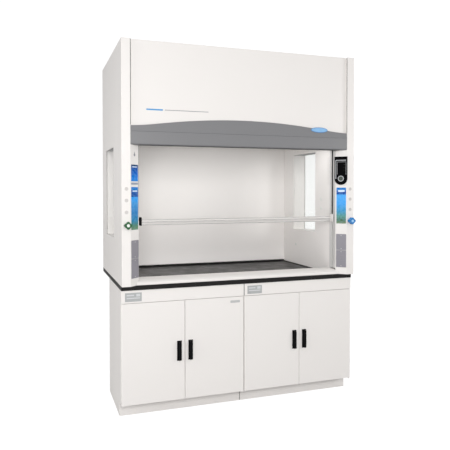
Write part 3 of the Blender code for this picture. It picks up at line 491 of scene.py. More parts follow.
blackResin = makeResin()
clearGlass = makeGlass("clearGlass", (0.995, 0.995, 0.993))
windowGlass = makeGlass("windowGlass", (0.975, 0.99, 0.985))
outerPane = makeGlass("outerPane", (0.99, 0.995, 0.99), 0.0, 1.03)
filterMedia = makeFilter()
twistedCable = makeStrands()
print("materials made")


def bandedLabel(name, low, high, stops):
    # a printed plate: colour bands up its height, with fine pale rules where a chart would be
    material, tree, shader = newMaterial(name, specular=0.06)
    where = onObject(tree)
    ramp = addNode(tree, "ShaderNodeValToRGB")
    ramp.color_ramp.interpolation = "LINEAR"
    elements = ramp.color_ramp.elements
    for element, (place, colour) in zip(elements, (stops[0], stops[-1])):
        element.position, element.color = place, (*colour, 1)
    for place, colour in stops[1:-1]:
        elements.new(place).color = (*colour, 1)
    wire(tree, mapTo(tree, heightOf(tree, where), 0, 1, low, high), ramp.inputs["Fac"])
    fine = mapTo(tree, bandsAt(tree, where, "Z", 60), 0, 1, 0.72, 0.82)
    broken = mapTo(tree, noiseAt(tree, where, 75, 2), 0, 0.55, 0.42, 0.52)
    rules = compute(tree, "MULTIPLY", fine, broken, clamp=True)
    colour = mixed(tree, rules, ramp.outputs["Color"], (0.30, 0.55, 0.85, 1))
    skin = placeGroup(tree, skinGroup, Roughness=0.28, Smudge=0.05, Peel_Scale=600.0)
    dress(tree, shader, colour, skin["Roughness"], skin["Height"], 0.06)
    return material


# what the frame gives

counterLow, counterHigh = lowHigh("worksurface")
half = counterHigh.x
frontFace = lowHigh("left_corner_post")[0].y


def depth(inches):
    # a plane this far behind the front face of the posts
    return frontFace + inches * inch


def at(x, y, z):
    # inches from the middle, behind the front face and above the floor
    return x * inch, depth(y), z * inch


strip = {"outer": (half - 2.4 * inch, 0.0), "inner": (31.0 * inch, 2.15 * inch)}
stripTurn = math.atan2(strip["inner"][1], strip["outer"][0] - strip["inner"][0])


def stripMatrix(side):
    # local -Y points out of the angled strip, and local X runs along its width
    middle = ((strip["outer"][0] + strip["inner"][0]) / 2 * side, frontFace + strip["inner"][1] / 2, 0)
    return Matrix.Translation(middle) @ Euler((0, 0, -side * stripTurn)).to_matrix().to_4x4()


# camera, lights and floor

view = {"place": (-1.4779, -3.8020, 1.5747), "turn": 17.111, "pitch": -0.935, "roll": -0.111,
        "lens": 39.80, "shiftX": 0.0832, "shiftY": -0.0537}


def makeCamera():
    bpy.ops.object.camera_add(location=view["place"])
    camera = bpy.context.object
    camera.name = "roomCamera"
    turn, pitch, roll = (math.radians(view[part]) for part in ("turn", "pitch", "roll"))
    forward = Vector((math.sin(turn) * math.cos(pitch), math.cos(turn) * math.cos(pitch), math.sin(pitch)))
    facing = forward.to_track_quat("-Z", "Y").to_matrix().to_4x4()
    camera.matrix_world = Matrix.Translation(view["place"]) @ facing @ Matrix.Rotation(roll, 4, "Z")
    camera.data.lens = view["lens"]
    camera.data.shift_x = view["shiftX"]
    camera.data.shift_y = view["shiftY"]
    camera.data.clip_end = 100
    bpy.context.scene.camera = camera


def addLight(name, place, aim, size, power, mirrored=False):
    pickNone()
    bpy.ops.object.light_add(type="AREA", location=place)
    light = bpy.context.object
    light.name = name
    light.data.shape = "RECTANGLE"
    light.data.size, light.data.size_y = size
    light.data.energy = power
    light.rotation_euler = (Vector(aim) - Vector(place)).to_track_quat("-Z", "Y").to_euler()
    light.visible_glossy = mirrored
    light.visible_camera = False
    light.visible_transmission = False


stageLook = {"floor": 0.42, "floorGlow": 1.3, "floorShare": 0.76, "seenSky": 1.05, "sky": 0.54}
# place, aim, size, power; the chamber's own light is up behind the header
lights = {
    "keyLight": ((-1.6, -4.7, 2.35), (0, 0, 0.85), (1.6, 1.6), 116, True),
    "rightFill": ((3.9, -3.3, 2.1), (0.6, 0, 1.2), (1.2, 1.2), 42, True),
    "leftFill": ((-4.5, -1.0, 1.3), (-0.9, 0, 0.8), (2.0, 2.4), 62),
    "backFill": ((2.5, 4.5, 3.2), (0, 0, 1.3), (2.5, 2.5), 72),
    "chamberFill": (at(0, 6.0, 77.5), at(0, 24, 38), (1.4, 0.14), 3.3),
}


def straightRays(tree):
    rays = addNode(tree, "ShaderNodeLightPath").outputs
    return compute(tree, "MAXIMUM", rays["Is Camera Ray"], rays["Is Transmission Ray"])


def makeStage():
    pickNone()
    bpy.ops.mesh.primitive_plane_add(size=60, location=(0, 0, 0))
    floor = bpy.context.object
    floor.name = "paleFloor"
    material, tree, shader = newMaterial("paleFloor")
    skin = placeGroup(tree, skinGroup, Colour=(*[stageLook["floor"]] * 3, 1), Drift=0.02, Roughness=0.8,
                      Smudge=0.05, Peel_Scale=200.0)
    wire(tree, skin["Colour"], shader.inputs["Base Color"])
    wire(tree, skin["Roughness"], shader.inputs["Roughness"])
    glow = addNode(tree, "ShaderNodeEmission", {"Strength": stageLook["floorGlow"]})
    share = compute(tree, "MULTIPLY", straightRays(tree), stageLook["floorShare"])
    surface = tree.nodes["Material Output"].inputs["Surface"]
    mixedShaders(tree, share, shader.outputs[0], glow.outputs[0], surface)
    floor.data.materials.append(material)
    world = bpy.context.scene.world or bpy.data.worlds.new("room")
    bpy.context.scene.world = world
    world.use_nodes = True
    tree = world.node_tree
    seen, lit = tree.nodes["Background"], addNode(tree, "ShaderNodeBackground")
    for sky, strength in ((seen, stageLook["seenSky"]), (lit, stageLook["sky"])):
        sky.inputs["Color"].default_value = (1.0, 1.0, 1.0, 1)
        sky.inputs["Strength"].default_value = strength
    mixedShaders(tree, straightRays(tree), lit.outputs[0], seen.outputs[0],
                 tree.nodes["World Output"].inputs["Surface"])
    bpy.context.scene.view_settings.view_transform = "Standard"
    for name, settings in lights.items():
        addLight(name, *settings)


makeCamera()
makeStage()
print("camera and stage set")


# flat outlines

def arc(centre, radius, start, end, steps=6):
    return [(centre[0] + radius * math.cos(math.radians(start + (end - start) * n / steps)),
             centre[1] + radius * math.sin(math.radians(start + (end - start) * n / steps)))
            for n in range(steps + 1)]


def roundedRectangle(low, high, radius, steps=5):
    (x0, y0), (x1, y1) = low, high
    return (arc((x1 - radius, y0 + radius), radius, -90, 0, steps)
            + arc((x1 - radius, y1 - radius), radius, 0, 90, steps)
            + arc((x0 + radius, y1 - radius), radius, 90, 180, steps)
            + arc((x0 + radius, y0 + radius), radius, 180, 270, steps))


def sheetOutline(path, thick):
    # a folded sheet's closed outline, its wall on the left of the path
    path = [Vector(point) for point in path]
    inner = []
    for n, point in enumerate(path):
        into = (point - path[n - 1]).normalized() if n else (path[1] - point).normalized()
        away = (path[n + 1] - point).normalized() if n + 1 < len(path) else into
        sideIn, sideOut = Vector((-into.y, into.x)), Vector((-away.y, away.x))
        mitre = (sideIn + sideOut).normalized()
        inner.append(point + mitre * thick / max(mitre.dot(sideIn), 0.4))
    return [tuple(point) for point in path + inner[::-1]]


def fromFront(points):
    # inches behind the front face and above the floor, as metres
    return [(depth(y), z * inch) for y, z in points]


def inInches(points):
    return [(x * inch, z * inch) for x, z in points]


def startPlate(name, low, high, corner, back, front, steps=5):
    # an upright plate with round corners: its outline in inches, its two faces in metres
    return startFlat(name, inInches(roundedRectangle(low, high, corner, steps)), back, front, "y")


def sideBox(name, side, near, far):
    # a box on one side, its x counted outwards from the middle, in inches
    corners = [at(side * x, y, z) for x, y, z in (near, far)]
    return startBox(name, [min(pair) for pair in zip(*corners)], [max(pair) for pair in zip(*corners)])


def fromAbove(points, side):
    # inches outwards on one side and behind the front face, as metres
    return [(side * x * inch, depth(y)) for x, y in points]


def behind(y):
    # how many inches a plane is behind the front face
    return (y - frontFace) / inch


sides = {"left": -1, "right": 1}

headerShape = {"sheet": 0.06, "nose": 0.45, "groove": 78.55, "grooveWide": 0.1, "grooveDeep": 0.09,
               "lean": 0.66, "top": 83.0, "shoulder": 80.0, "halfArch": 30.2, "soften": 0.5}


def makeHeader():
    low, high = lowHigh("arched_header")
    bottom, crown, underside = low.z / inch, high.z / inch, behind(high.y)
    sheet, nose, groove, wide, deep, lean, top, shoulder, halfArch, soft = headerShape.values()
    front = ([(underside, bottom)] + arc((nose, bottom + nose), nose, 270, 180, 8)
             + [(0, groove - wide / 2), (deep, groove - wide / 4), (deep, groove + wide / 4),
                (0, groove + wide / 2), (lean, top)])
    inside = ([(0.738, top), (0.738, 77.6), (0.2, 77.3), (sheet, 77.1)]
              + arc((nose, bottom + nose), nose - sheet, 180, 270, 8) + [(underside, bottom + sheet)])
    header = startFlat("archedHeader", fromFront(front + inside), low.x, high.x, "x")

    # the arch is part of a circle that softens into level shoulders
    rise = crown - shoulder
    radius = (halfArch ** 2 + rise ** 2) / (2 * rise)
    edge = []
    for n in range(73):
        x = -34 + 68 * n / 72
        above = math.sqrt(radius ** 2 - x ** 2) - (radius - rise)
        edge.append((x, shoulder + (above + math.sqrt(above ** 2 + soft)) / 2 - soft / (4 * rise)))
    edge += [(34, 86), (-34, 86)]
    cutAway(header, startFlat("archCutter", inInches(edge), depth(-1), depth(1.5), "y"))
    corner = [(33.61, 0.14), (34.5, 0.14), (34.5, 3.4), (30.99, 3.4), (30.99, 2.2)]
    for side in (-1, 1):
        cutAway(header, startFlat("cornerCutter", fromAbove(corner, side), (bottom - 0.5) * inch,
                                  (bottom + 0.36) * inch))
    roundEdges(header, 0.035, 2, 50)
    finishPiece(header, headerGrey, "root", ["arched_header"])


makeHeader()
print("header made")


doorShape = {"pin": 0.4, "pinRadius": 0.12, "pinIn": 0.375, "frame": 0.85, "recess": 0.22,
             "hingeRound": 0.236, "edge": 0.035, "bumper": 0.22, "bumperIn": 1.6}


def makeDoor(body, node, hingeSide):
    low, high = lowHigh(node)
    pin = doorShape["pin"] * inch
    low.z += pin
    high.z -= pin
    name = body.replace("_", "")
    door = startBox(name + "Panel", low, high)
    insetFaces(door, lambda face: face.normal.y > 0.9, (doorShape["frame"], 0), (0.02, -doorShape["recess"]))
    hinge, free = (high.x, low.x) if hingeSide > 0 else (low.x, high.x)
    editWhere(door, "EDGE", lambda edge: all(abs(v.co.x - hinge) < 1e-5 for v in edge.verts)
              and abs(edge.verts[0].co.z - edge.verts[1].co.z) > 0.1)
    bpy.ops.mesh.bevel(offset=doorShape["hingeRound"] * inch, segments=5, affect="EDGES")
    bpy.ops.object.mode_set(mode="OBJECT")
    roundEdges(door, doorShape["edge"], 2)
    axis = hinge - hingeSide * doorShape["pinIn"] * inch
    middle = (low.y + high.y) / 2
    pins = [roundEdges(startRound("hingePin", doorShape["pinRadius"] * inch, (axis, middle, z - 0.05 * inch),
                                  (axis, middle, z + pin - 0.02 * inch), 20), 0.015, 1)
            for z in (low.z - pin + 0.02 * inch, high.z)]
    finishPiece(gather(door.name, [door] + pins), doorEnamel, body, [node])
    away = free + hingeSide * doorShape["bumperIn"] * inch
    bumpers = [startRound("bumper", doorShape["bumper"] * inch, (away, high.y - 0.02 * inch, z),
                          (away, high.y + 0.04 * inch, z), 20)
               for z in (low.z + 0.5 * inch, high.z - 0.5 * inch)]
    stops = roundEdges(gather(name + "Bumpers", bumpers), 0.02, 2)
    finishPiece(stops, rubberSeal, body)


def makeScrew(place, radius, proud, sides=20):
    # a pan head that faces the front, with a cross cut in it; radius and rise in inches
    x, y, z = place
    rise = proud * inch
    head = startRound("screwHead", radius * inch, (x, y + rise * 0.4, z), (x, y - rise, z), sides)
    insetFaces(head, towardFront, (radius * 0.35, proud * 0.25))
    for wide, tall in ((0.45, 0.1), (0.1, 0.45)):
        wide, tall = wide * radius * inch, tall * radius * inch
        cutAway(head, startBox("screwCut", (x - wide, y - rise * 2, z - tall),
                               (x + wide, y - rise * 0.55, z + tall)))
    return head


pullShape = {"plate": 0.12, "bar": 0.56, "wall": 0.22, "inset": 0.15, "rib": 0.09, "ribProud": 0.03,
             "bend": 0.32, "reach": 0.45, "fillet": 0.16}


def makePull(body, node):
    low, high = lowHigh(node)
    middle = (low.x + high.x) / 2
    thick, wide, wall, inset, rib, proud, bend, reach, fillet = (inch * value for value in pullShape.values())
    plateFront = high.y - thick
    plate = startBox("pullPlate", (low.x, plateFront, low.z), high)
    insetFaces(plate, towardFront, (0.08, 0), (0.03, -0.035))
    roundEdges(plate, 0.025, 2)
    out, bottom, top = low.y + proud, low.z + inset, high.z - inset
    root = plateFront + 0.03 * inch
    outside = ([(root, bottom)] + arc((out + bend, bottom + bend), bend, 270, 180)
               + arc((out + bend, top - bend), bend, 180, 90) + [(root, top)])
    inside = ([(root, top - reach)]
              + arc((out + wall + fillet, top - reach - fillet), fillet, 90, 180, 5)
              + arc((out + wall + fillet, bottom + reach + fillet), fillet, 180, 270, 5)
              + [(root, bottom + reach)])
    bar = startFlat("pullBar", outside + inside, middle - wide / 2, middle + wide / 2, "x")
    roundEdges(bar, 0.05, 3, 50)
    ridge = startBox("pullRib", (middle - rib / 2, low.y, bottom + bend),
                     (middle + rib / 2, out + 0.05 * inch, top - bend))
    roundEdges(ridge, 0.02, 2)
    screws = [makeScrew((middle + side * 0.46 * inch, plateFront - 0.005 * inch, z), 0.11, 0.05)
              for z in (low.z + 0.42 * inch, high.z - 0.42 * inch) for side in (-1, 1)]
    name = body.replace("_", "")
    finishPiece(gather(name + "Pull", [plate, bar, ridge]), blackTextured, body, [node])
    finishPiece(gather(name + "PullScrews", screws), blackGloss, body)


for word in sides:
    for leaf, hingeSide in (("a", -1), ("b", 1)):
        body = f"{word}_door_{leaf}"
        makeDoor(body, f"cabinet_{body}", hingeSide)
        makePull(body, f"pull_{word}_{leaf}")
print("doors and pulls made")


counterShape = {"edge": 0.096, "dishSide": 5.5, "dishFront": 6.5, "dishBack": 34.8, "dishDeep": 0.25,
                "dishRound": 1.2, "dripBack": 0.55, "dripWide": 0.16, "dripDeep": 0.12}


def makeCounter():
    low, high = counterLow, counterHigh
    edge, side, front, back, deep, corner, dripBack, dripWide, dripDeep = counterShape.values()
    counter = startBox("counterSlab", low, high)
    x = high.x - side * inch
    dish = startFlat("dishCutter", roundedRectangle((-x, depth(front)), (x, depth(back)), corner * inch, 8),
                     high.z - deep * inch, high.z + inch)
    drip = startBox("dripCutter", (low.x - inch, low.y + dripBack * inch, low.z - inch),
                    (high.x + inch, low.y + (dripBack + dripWide) * inch, low.z + dripDeep * inch))
    cutAway(counter, dish, drip)
    roundEdges(counter, edge, 4, 50)
    finishPiece(counter, blackResin, "root", ["worksurface"])


def makeSill():
    # the path runs from the hidden back edge forwards and down the nose
    path = [(5.75, 37.8), (5.75, 38.14), (5.70, 38.27), (5.58, 38.325), (5.4, 38.33), (4.6, 38.31),
            (3.6, 38.27), (2.95, 38.22), (2.62, 38.17), (2.36, 38.06), (2.05, 37.90), (1.72, 37.71),
            (1.52, 37.57), (1.43, 37.46), (1.40, 37.32), (1.40, 36.79)]
    low, high = lowHigh("airfoil_sill")
    sill = startFlat("airfoilSill", fromFront(sheetOutline(path, 0.06)), low.x, high.x, "x")
    end = [(31.80, 1.39), (30.90, 2.15), (30.90, 6.5), (33.5, 6.5), (33.5, 1.0), (32.27, 1.0)]
    for side in (-1, 1):
        cutAway(sill, startFlat("endCutter", fromAbove(end, side), 36 * inch, 39 * inch))
    finishPiece(sill, whiteEnamel, "root", ["airfoil_sill"], 45)


makeCounter()
makeSill()
print("counter and sill made")


def makeSash():
    low, high = lowHigh("sash_handle_rail")
    profile = [(3.34, 53.0), (3.26, 53.08), (3.26, 53.28), (3.31, 53.33), (3.31, 53.39), (3.26, 53.44),
               (3.26, 53.72), (2.72, 53.72), (2.66, 53.74), (2.63, 53.80), (2.66, 53.86), (2.72, 53.88),
               (3.26, 53.88), (3.26, 54.12), (3.31, 54.17), (3.31, 54.23), (3.26, 54.28), (3.26, 54.52),
               (3.34, 54.6), (3.67, 54.6), (3.67, 53.60), (3.94, 53.60), (3.94, 54.6), (4.27, 54.6),
               (4.35, 54.52), (4.35, 53.08), (4.27, 53.0)]
    rail = startFlat("sashRail", fromFront(profile), low.x, high.x, "x")
    finishPiece(rail, railMetal, "sash", ["sash_handle_rail"], 30)
    glassTop = lowHigh("sash_glass")[1].z
    lip = [(30.62, 3.67), (30.62, 3.60), (30.68, 3.54), (30.90, 3.54), (30.96, 3.60), (30.96, 3.67)]
    # the right cap is pale like the rail
    looks = {"left": (blackTextured, "black_plastic"), "right": (railMetal, "satin_aluminium")}
    for word, side in sides.items():
        cap = sideBox(word + "SashCap", side, (30.01, 2.58, 52.95), (30.5, 4.40, 55.25))
        roundEdges(cap, 0.12, 4)
        shoe = roundEdges(sideBox("capShoe", side, (30.3, 3.97, 54.3), (31.5, 4.13, 54.9)), 0.03, 2)
        combine(cap, "UNION", [shoe])
        cutAway(cap, startBox("capSlot", at(-36, 3.665, 53.60), at(36, 3.945, 56)))
        material, slot = looks[word]
        finishPiece(cap, material, "sash", [word + "_sash_end_cap"])
        seal = startFlat(word + "SashSeal", fromAbove(lip, side), 55.30 * inch, glassTop - 0.5 * inch)
        finishPiece(seal, rubberSeal, "sash")


cableShape = {"radius": 0.05, "sides": 12}


def makeCable(name, node):
    # points only at the two ends, so it can shorten and lengthen without bunching
    low, high = lowHigh(node)
    x, y = (low.x + high.x) / 2, (low.y + high.y) / 2
    cable = startRound(name, cableShape["radius"] * inch, (x, y, low.z), (x, y, high.z), cableShape["sides"])
    pickOnly(cable)
    bpy.ops.object.shade_smooth_by_angle(angle=math.radians(50))
    cable.data.materials.clear()
    cable.data.materials.append(twistedCable)
    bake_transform(cable)
    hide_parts(node)


makeSash()
for word in sides:
    makeCable(word + "FrontCable", word + "_front_cable")
    makeCable(word + "RearCable", word + "_rear_cable")
print("sash made")


monitorShape = {"half": 1.91, "top": 73.0, "middle": 66.25, "shift": -0.08, "off": 0.012, "deep": 0.6}


def shield(wide, top, middle, shift, steps=24):
    # square corners above and a half circle below
    return ([(shift - wide, top), (shift + wide, top)]
            + [(shift + wide * math.cos(math.pi * n / steps), middle - wide * math.sin(math.pi * n / steps))
               for n in range(steps + 1)])


def makeMonitor():
    place = stripMatrix(1)
    wide, top, middle, shift, off, deep = monitorShape.values()
    back, face = -off * inch, -(off + deep) * inch
    housing = startFlat("monitorHousing", inInches(shield(wide, top, middle, shift)), back, face, "y")
    roundEdges(housing, 0.09, 4, 50)
    cutAway(housing, startPeg("pocket", 0.66, shift, middle, face - inch, face + 0.3 * inch))
    finishPiece(moved(housing, place), blackTextured, "root", ["monitor_housing"])

    back, front = face + 0.01 * inch, face - 0.06 * inch
    lens = startFlat("monitorLens", inInches(shield(wide - 0.1, top - 0.1, middle, shift)), back, front, "y")
    cutAway(lens, startPeg("lensHole", 0.64, shift, middle, front - inch, back + inch))
    roundEdges(lens, 0.03, 3, 50)
    finishPiece(moved(lens, place), blackGloss, "root", ["monitor_lens"])

    # the pale line that frames the display and runs into the ring
    inkBack, inkFront = front + 0.005 * inch, front - 0.012 * inch
    left, right, upper, line = shift - wide + 0.36, shift + wide - 0.36, 71.95, 0.15
    lines = [("inkTop", (left, upper - line), (right, upper), 0.07),
             ("inkLeft", (left, middle - 0.1), (left + line, upper), 0.07),
             ("inkThinTop", (left + 0.45, upper - 0.62), (right, upper - 0.56), 0.025),
             ("inkThinLeft", (left + 0.45, middle + 1.25), (left + 0.51, upper - 0.56), 0.025),
             ("inkThinRight", (right - 0.06, middle + 1.25), (right, upper - 0.56), 0.025)]
    ring = startPeg("inkRing", 0.86, shift, middle, inkBack, inkFront)
    cutAway(ring, startPeg("ringHole", 0.70, shift, middle, inkFront - inch, inkBack + inch))
    ink = gather("monitorOutline", [startPlate(*rule, inkBack, inkFront) for rule in lines] + [ring])
    finishPiece(moved(ink, place), paleMark)

    button = startPeg("monitorButton", 0.6, shift, middle, face + 0.2 * inch, front - 0.1 * inch)
    insetFaces(button, towardFront, (0.08, 0), (0.12, -0.04))
    roundEdges(button, 0.03, 3, 30)
    finishPiece(moved(button, place), buttonDark, "airflow_button", ["monitor_button"])

    lamps = gather("statusLamps", [startPeg("statusLamp", 0.09, shift + 0.95, z, front + 0.01 * inch,
                                            front - 0.02 * inch, 20) for z in (70.6, 69.7, 68.8)])
    roundEdges(lamps, 0.012, 2)
    finishPiece(moved(lamps, place), lampDark)


makeMonitor()
print("monitor made")


plateShape = {"half": 1.475, "bottom": 38.9, "split": 44.2, "top": 49.15, "off": 0.012, "thick": 0.14,
              "seam": 0.035, "socketUp": 2.3}


def makeServicePlates(word, side):
    wide, bottom, split, top, off, thick, seam, socketUp = plateShape.values()
    back, face = -off * inch, -(off + thick) * inch
    plates, screws = [], []
    for low, high in ((bottom, split - seam), (split + seam, top)):
        plate = startPlate("plate", (-wide, low), (wide, high), 0.12, back, face)
        plates.append(roundEdges(plate, 0.05, 3, 50))
        screws += [makeScrew((0, face, z * inch), 0.13, 0.035) for z in (low + 0.45, high - 0.45)]
    for z in (bottom + socketUp - 0.72, bottom + socketUp + 0.72) if side > 0 else ():
        socket = startPlate("socketFace", (-0.66, z - 0.56), (0.66, z + 0.56), 0.3, back,
                            face - 0.07 * inch, 8)
        roundEdges(socket, 0.025, 2, 50)
        deep = face + 0.03 * inch
        for x, tall in ((-0.25, 0.15), (0.25, 0.18)):
            cutAway(socket, startBox("blade", ((x - 0.045) * inch, face - inch, (z + 0.08 - tall) * inch),
                                     ((x + 0.045) * inch, deep, (z + 0.08 + tall) * inch)))
        cutAway(socket, startPeg("earth", 0.09, 0, z - 0.28, face - inch, deep, 20))
        plates.append(socket)
    place = stripMatrix(side)
    joined = moved(gather(word + "ServicePlate", plates), place)
    finishPiece(joined, greyPlate, "root", [word + "_service_plate"])
    finishPiece(moved(gather(word + "PlateScrews", screws), place), screwSteel)


for word, side in sides.items():
    makeServicePlates(word, side)


printShape = {"half": 1.42, "back": -0.010 * inch, "face": -0.045 * inch}
deepBlue = (0.004, 0.065, 0.34)
strongBlue = (0.004, 0.18, 0.58)
skyBlue = (0.035, 0.34, 0.85)
tealBlue = (0.025, 0.22, 0.42)
leafGreen = (0.07, 0.20, 0.09)


def startPrint(name, side, low, high):
    # a thin printed plate on the angled strip
    wide, back, face = printShape.values()
    plate = startPlate(name, (-wide, low), (wide, high), 0.08, back, face)
    return moved(roundEdges(plate, 0.012, 2, 50), stripMatrix(side))


def makeLabel(name, side, low, high, stops, left, right, bottom, top):
    # the last four place its pale raised bar
    plate = startPrint(name, side, low, high)
    finishPiece(plate, bandedLabel(name + "Print", low * inch, high * inch, stops))
    back, front = printShape["face"] + 0.002 * inch, printShape["face"] - 0.006 * inch
    bar = startPlate(name + "Bars", (left, bottom), (right, top), 0.03, back, front)
    finishPiece(moved(bar, stripMatrix(side)), printWhite)


def makeStripMarks():
    finishPiece(startPrint("leftStripBar", -1, 64.2, 64.75), greyBar)
    drop = [(0, 73.15)] + arc((0, 72.2), 0.33, 50, -230, 20)
    drop = startFlat("dropMark", inInches(drop), printShape["back"], -0.03 * inch, "y")
    finishPiece(moved(drop, stripMatrix(-1)), greyPlate)


makeLabel("leftUpperLabel", -1, 65.1, 69.6,
          [(0, strongBlue), (0.12, (0.004, 0.21, 0.72)), (0.5, (0.004, 0.11, 0.52)), (0.80, deepBlue),
           (0.93, (0.01, 0.02, 0.10)), (1, (0.01, 0.02, 0.09))],
          -1.0, 0.9, 68.85, 69.12)
makeLabel("leftLowerLabel", -1, 52.0, 63.55,
          [(0, (0.16, 0.26, 0.10)), (0.10, leafGreen), (0.22, tealBlue), (0.40, (0.03, 0.20, 0.50)),
           (0.62, (0.05, 0.30, 0.70)), (0.70, skyBlue), (0.765, skyBlue), (0.775, deepBlue), (0.92, deepBlue),
           (0.93, strongBlue), (1, strongBlue)],
          -0.9, 1.1, 62.3, 62.62)
makeLabel("rightLabel", 1, 52.4, 63.5,
          [(0, (0.20, 0.26, 0.10)), (0.10, (0.07, 0.16, 0.08)), (0.2, (0.10, 0.30, 0.22)),
           (0.35, (0.05, 0.30, 0.55)), (0.55, (0.06, 0.36, 0.85)), (0.76, (0.08, 0.42, 0.92)),
           (0.80, skyBlue), (0.815, deepBlue), (0.90, deepBlue), (0.93, strongBlue), (1, strongBlue)],
          -0.9, 1.0, 62.15, 62.75)
makeStripMarks()
print("service plates and labels made")


knobShape = {"radius": 0.92, "lobe": 0.12, "back": 0.6, "cap": 0.42, "collar": 0.62, "bore": 0.53}


def makeKnob(word, material, capMaterial):
    radius, lobe, back, capRadius, collarRadius, bore = knobShape.values()
    low, high = lowHigh(word + "_valve_knob")
    x, z, front = (low.x + high.x) / 2 / inch, (low.z + high.z) / 2 / inch, low.y
    rim = []
    for n in range(96):
        angle = 2 * math.pi * n / 96
        reach = radius + lobe * math.cos(4 * angle)
        rim.append((x + reach * math.cos(angle), z + reach * math.sin(angle)))
    grip = startFlat(word + "Knob", inInches(rim), front, depth(-back), "y")
    insetFaces(grip, towardFront, (0.16, 0), (0.14, -0.10))
    roundEdges(grip, 0.09, 4, 50)
    neck = roundEdges(startPeg("knobNeck", 0.5, x, z, depth(-0.7), depth(-0.04), 40), 0.04)
    stem = roundEdges(startPeg("knobStem", 0.185, x, z, depth(-0.1), depth(1.4), 24), 0.02, 2)
    knob = gather(grip.name, [grip, neck, stem])
    finishPiece(knob, material, word + "_knob", [word + "_valve_knob"])
    cap = startPeg(word + "KnobCap", capRadius, x, z, front + 0.12 * inch, front + 0.005 * inch, 48)
    insetFaces(cap, towardFront, (0.12, 0))
    roundEdges(cap, 0.04)
    finishPiece(cap, capMaterial, word + "_knob")
    collar = startPeg(word + "KnobCollar", collarRadius, x, z, depth(-0.03), frontFace - 0.0002, 48)
    cutAway(collar, startPeg("collarBore", bore, x, z, depth(-1), depth(1), 48))
    finishPiece(collar, screwSteel)


makeKnob("left", greenKnob, capWhite)
makeKnob("right", blueKnob, capBlue)
print("knobs made")


plugShape = {"post": 0.5, "postIn": 1.3, "postProud": 0.07, "liner": 0.42, "linerProud": 0.09, "sunk": 0.0002,
             "postUp": (63.05, 59.95, 56.75), "linerAt": ((10.4, 59.8), (10.4, 56.9), (26.5, 43.6))}


def makePlugs():
    # blank plugs in the posts and the liners, where no more valves are fitted
    post, postIn, postProud, liner, linerProud, sunk, postUp, linerAt = plugShape.values()
    for word, side in sides.items():
        plugs, x = [], side * (half / inch - postIn)
        for z in postUp:
            plug = startPeg("plug", post, x, z, frontFace - sunk, depth(-postProud), 40)
            insetFaces(plug, towardFront, (0.1, 0), (0.04, -0.025))
            plugs.append(roundEdges(plug, 0.02))
        finishPiece(gather(word + "PostPlugs", plugs), palePlug)
        wall, inner = side * 31.0 * inch, []
        for y, z in linerAt:
            inner.append(startRound("plug", liner * inch, (wall - side * sunk, depth(y), z * inch),
                                    (wall - side * linerProud * inch, depth(y), z * inch), 32))
        inner = roundEdges(gather(word + "LinerPlugs", inner), 0.035)
        finishPiece(inner, capWhite)


badgeShape = {"place": (24.05, 0.30, 80.8), "wide": 2.85, "tall": 0.80, "rim": (0.91, 0.80)}


def makeBadge():
    # a blank oval plate that leans with the header's upper band
    place, wide, tall, rim = badgeShape.values()
    lean = math.atan2(headerShape["lean"], headerShape["top"] - headerShape["groove"] - 0.05)
    centre = Matrix.Translation(at(*place)) @ Matrix.Rotation(-lean, 4, "X")
    outer = [(wide * math.cos(a), tall * math.sin(a)) for a in (2 * math.pi * n / 72 for n in range(72))]
    inner = [(x * rim[0], z * rim[1]) for x, z in outer]
    rows = [("badgeRim", outer, 0, -0.06, 0.02, badgeRim),
            ("badgeFace", inner, -0.05, -0.085, 0.015, badgeBlue)]
    for name, outline, back, front, edge, material in rows:
        oval = startFlat(name, inInches(outline), back * inch, front * inch, "y")
        finishPiece(moved(roundEdges(oval, edge, 2, 50), centre), material)


def makePanelLine():
    # a plain two-tone trim line on the upper panel
    face = depth(0.75) - 0.0001
    front = face - 0.02 * inch
    dash = startPlate("panelDash", (-29.1, 84.45), (-24.4, 84.85), 0.19, face, front, 8)
    finishPiece(roundEdges(dash, 0.006, 2, 50), dashBlue)
    finishPiece(startPlate("panelLine", (-23.9, 84.57), (-11.2, 84.73), 0.07, face, front, 6), greyPlate)


def makeCabinetPlates():
    # blank name plates on the aprons and a small blank plate on one door
    face = depth(1.5) - 0.0001
    for word, left in (("left", -34.95), ("right", 1.05)):
        plate = startPlate(word + "CabinetPlate", (left, 32.4), (left + 4.6, 34.8), 0.1, face,
                           face - 0.04 * inch)
        finishPiece(roundEdges(plate, 0.014, 2, 50), platePale)
        marks = [startPlate("mark", (left + x0, z0), (left + x1, z1), 0.05, face - 0.038 * inch,
                            face - 0.048 * inch)
                 for x0, z0, x1, z1 in ((0.45, 33.95, 2.5, 34.3), (3.1, 33.75, 4.2, 34.5),
                                        (0.45, 33.2, 4.15, 33.5))]
        finishPiece(gather(word + "CabinetMarks", marks), markPale)
    tag = startPlate("doorPlate", (-4.3, 30.15), (-1.35, 30.85), 0.15, face, face - 0.03 * inch)
    finishPiece(roundEdges(tag, 0.01, 2, 50), markGrey, "left_door_b")


makePlugs()
makeBadge()
makePanelLine()
makeCabinetPlates()
print("plugs, badge and plates made")


lampShape = {"side": 0.08, "corner": 0.4, "slope": 0.12, "skirt": 0.45, "flat": 0.3, "end": 0.42}


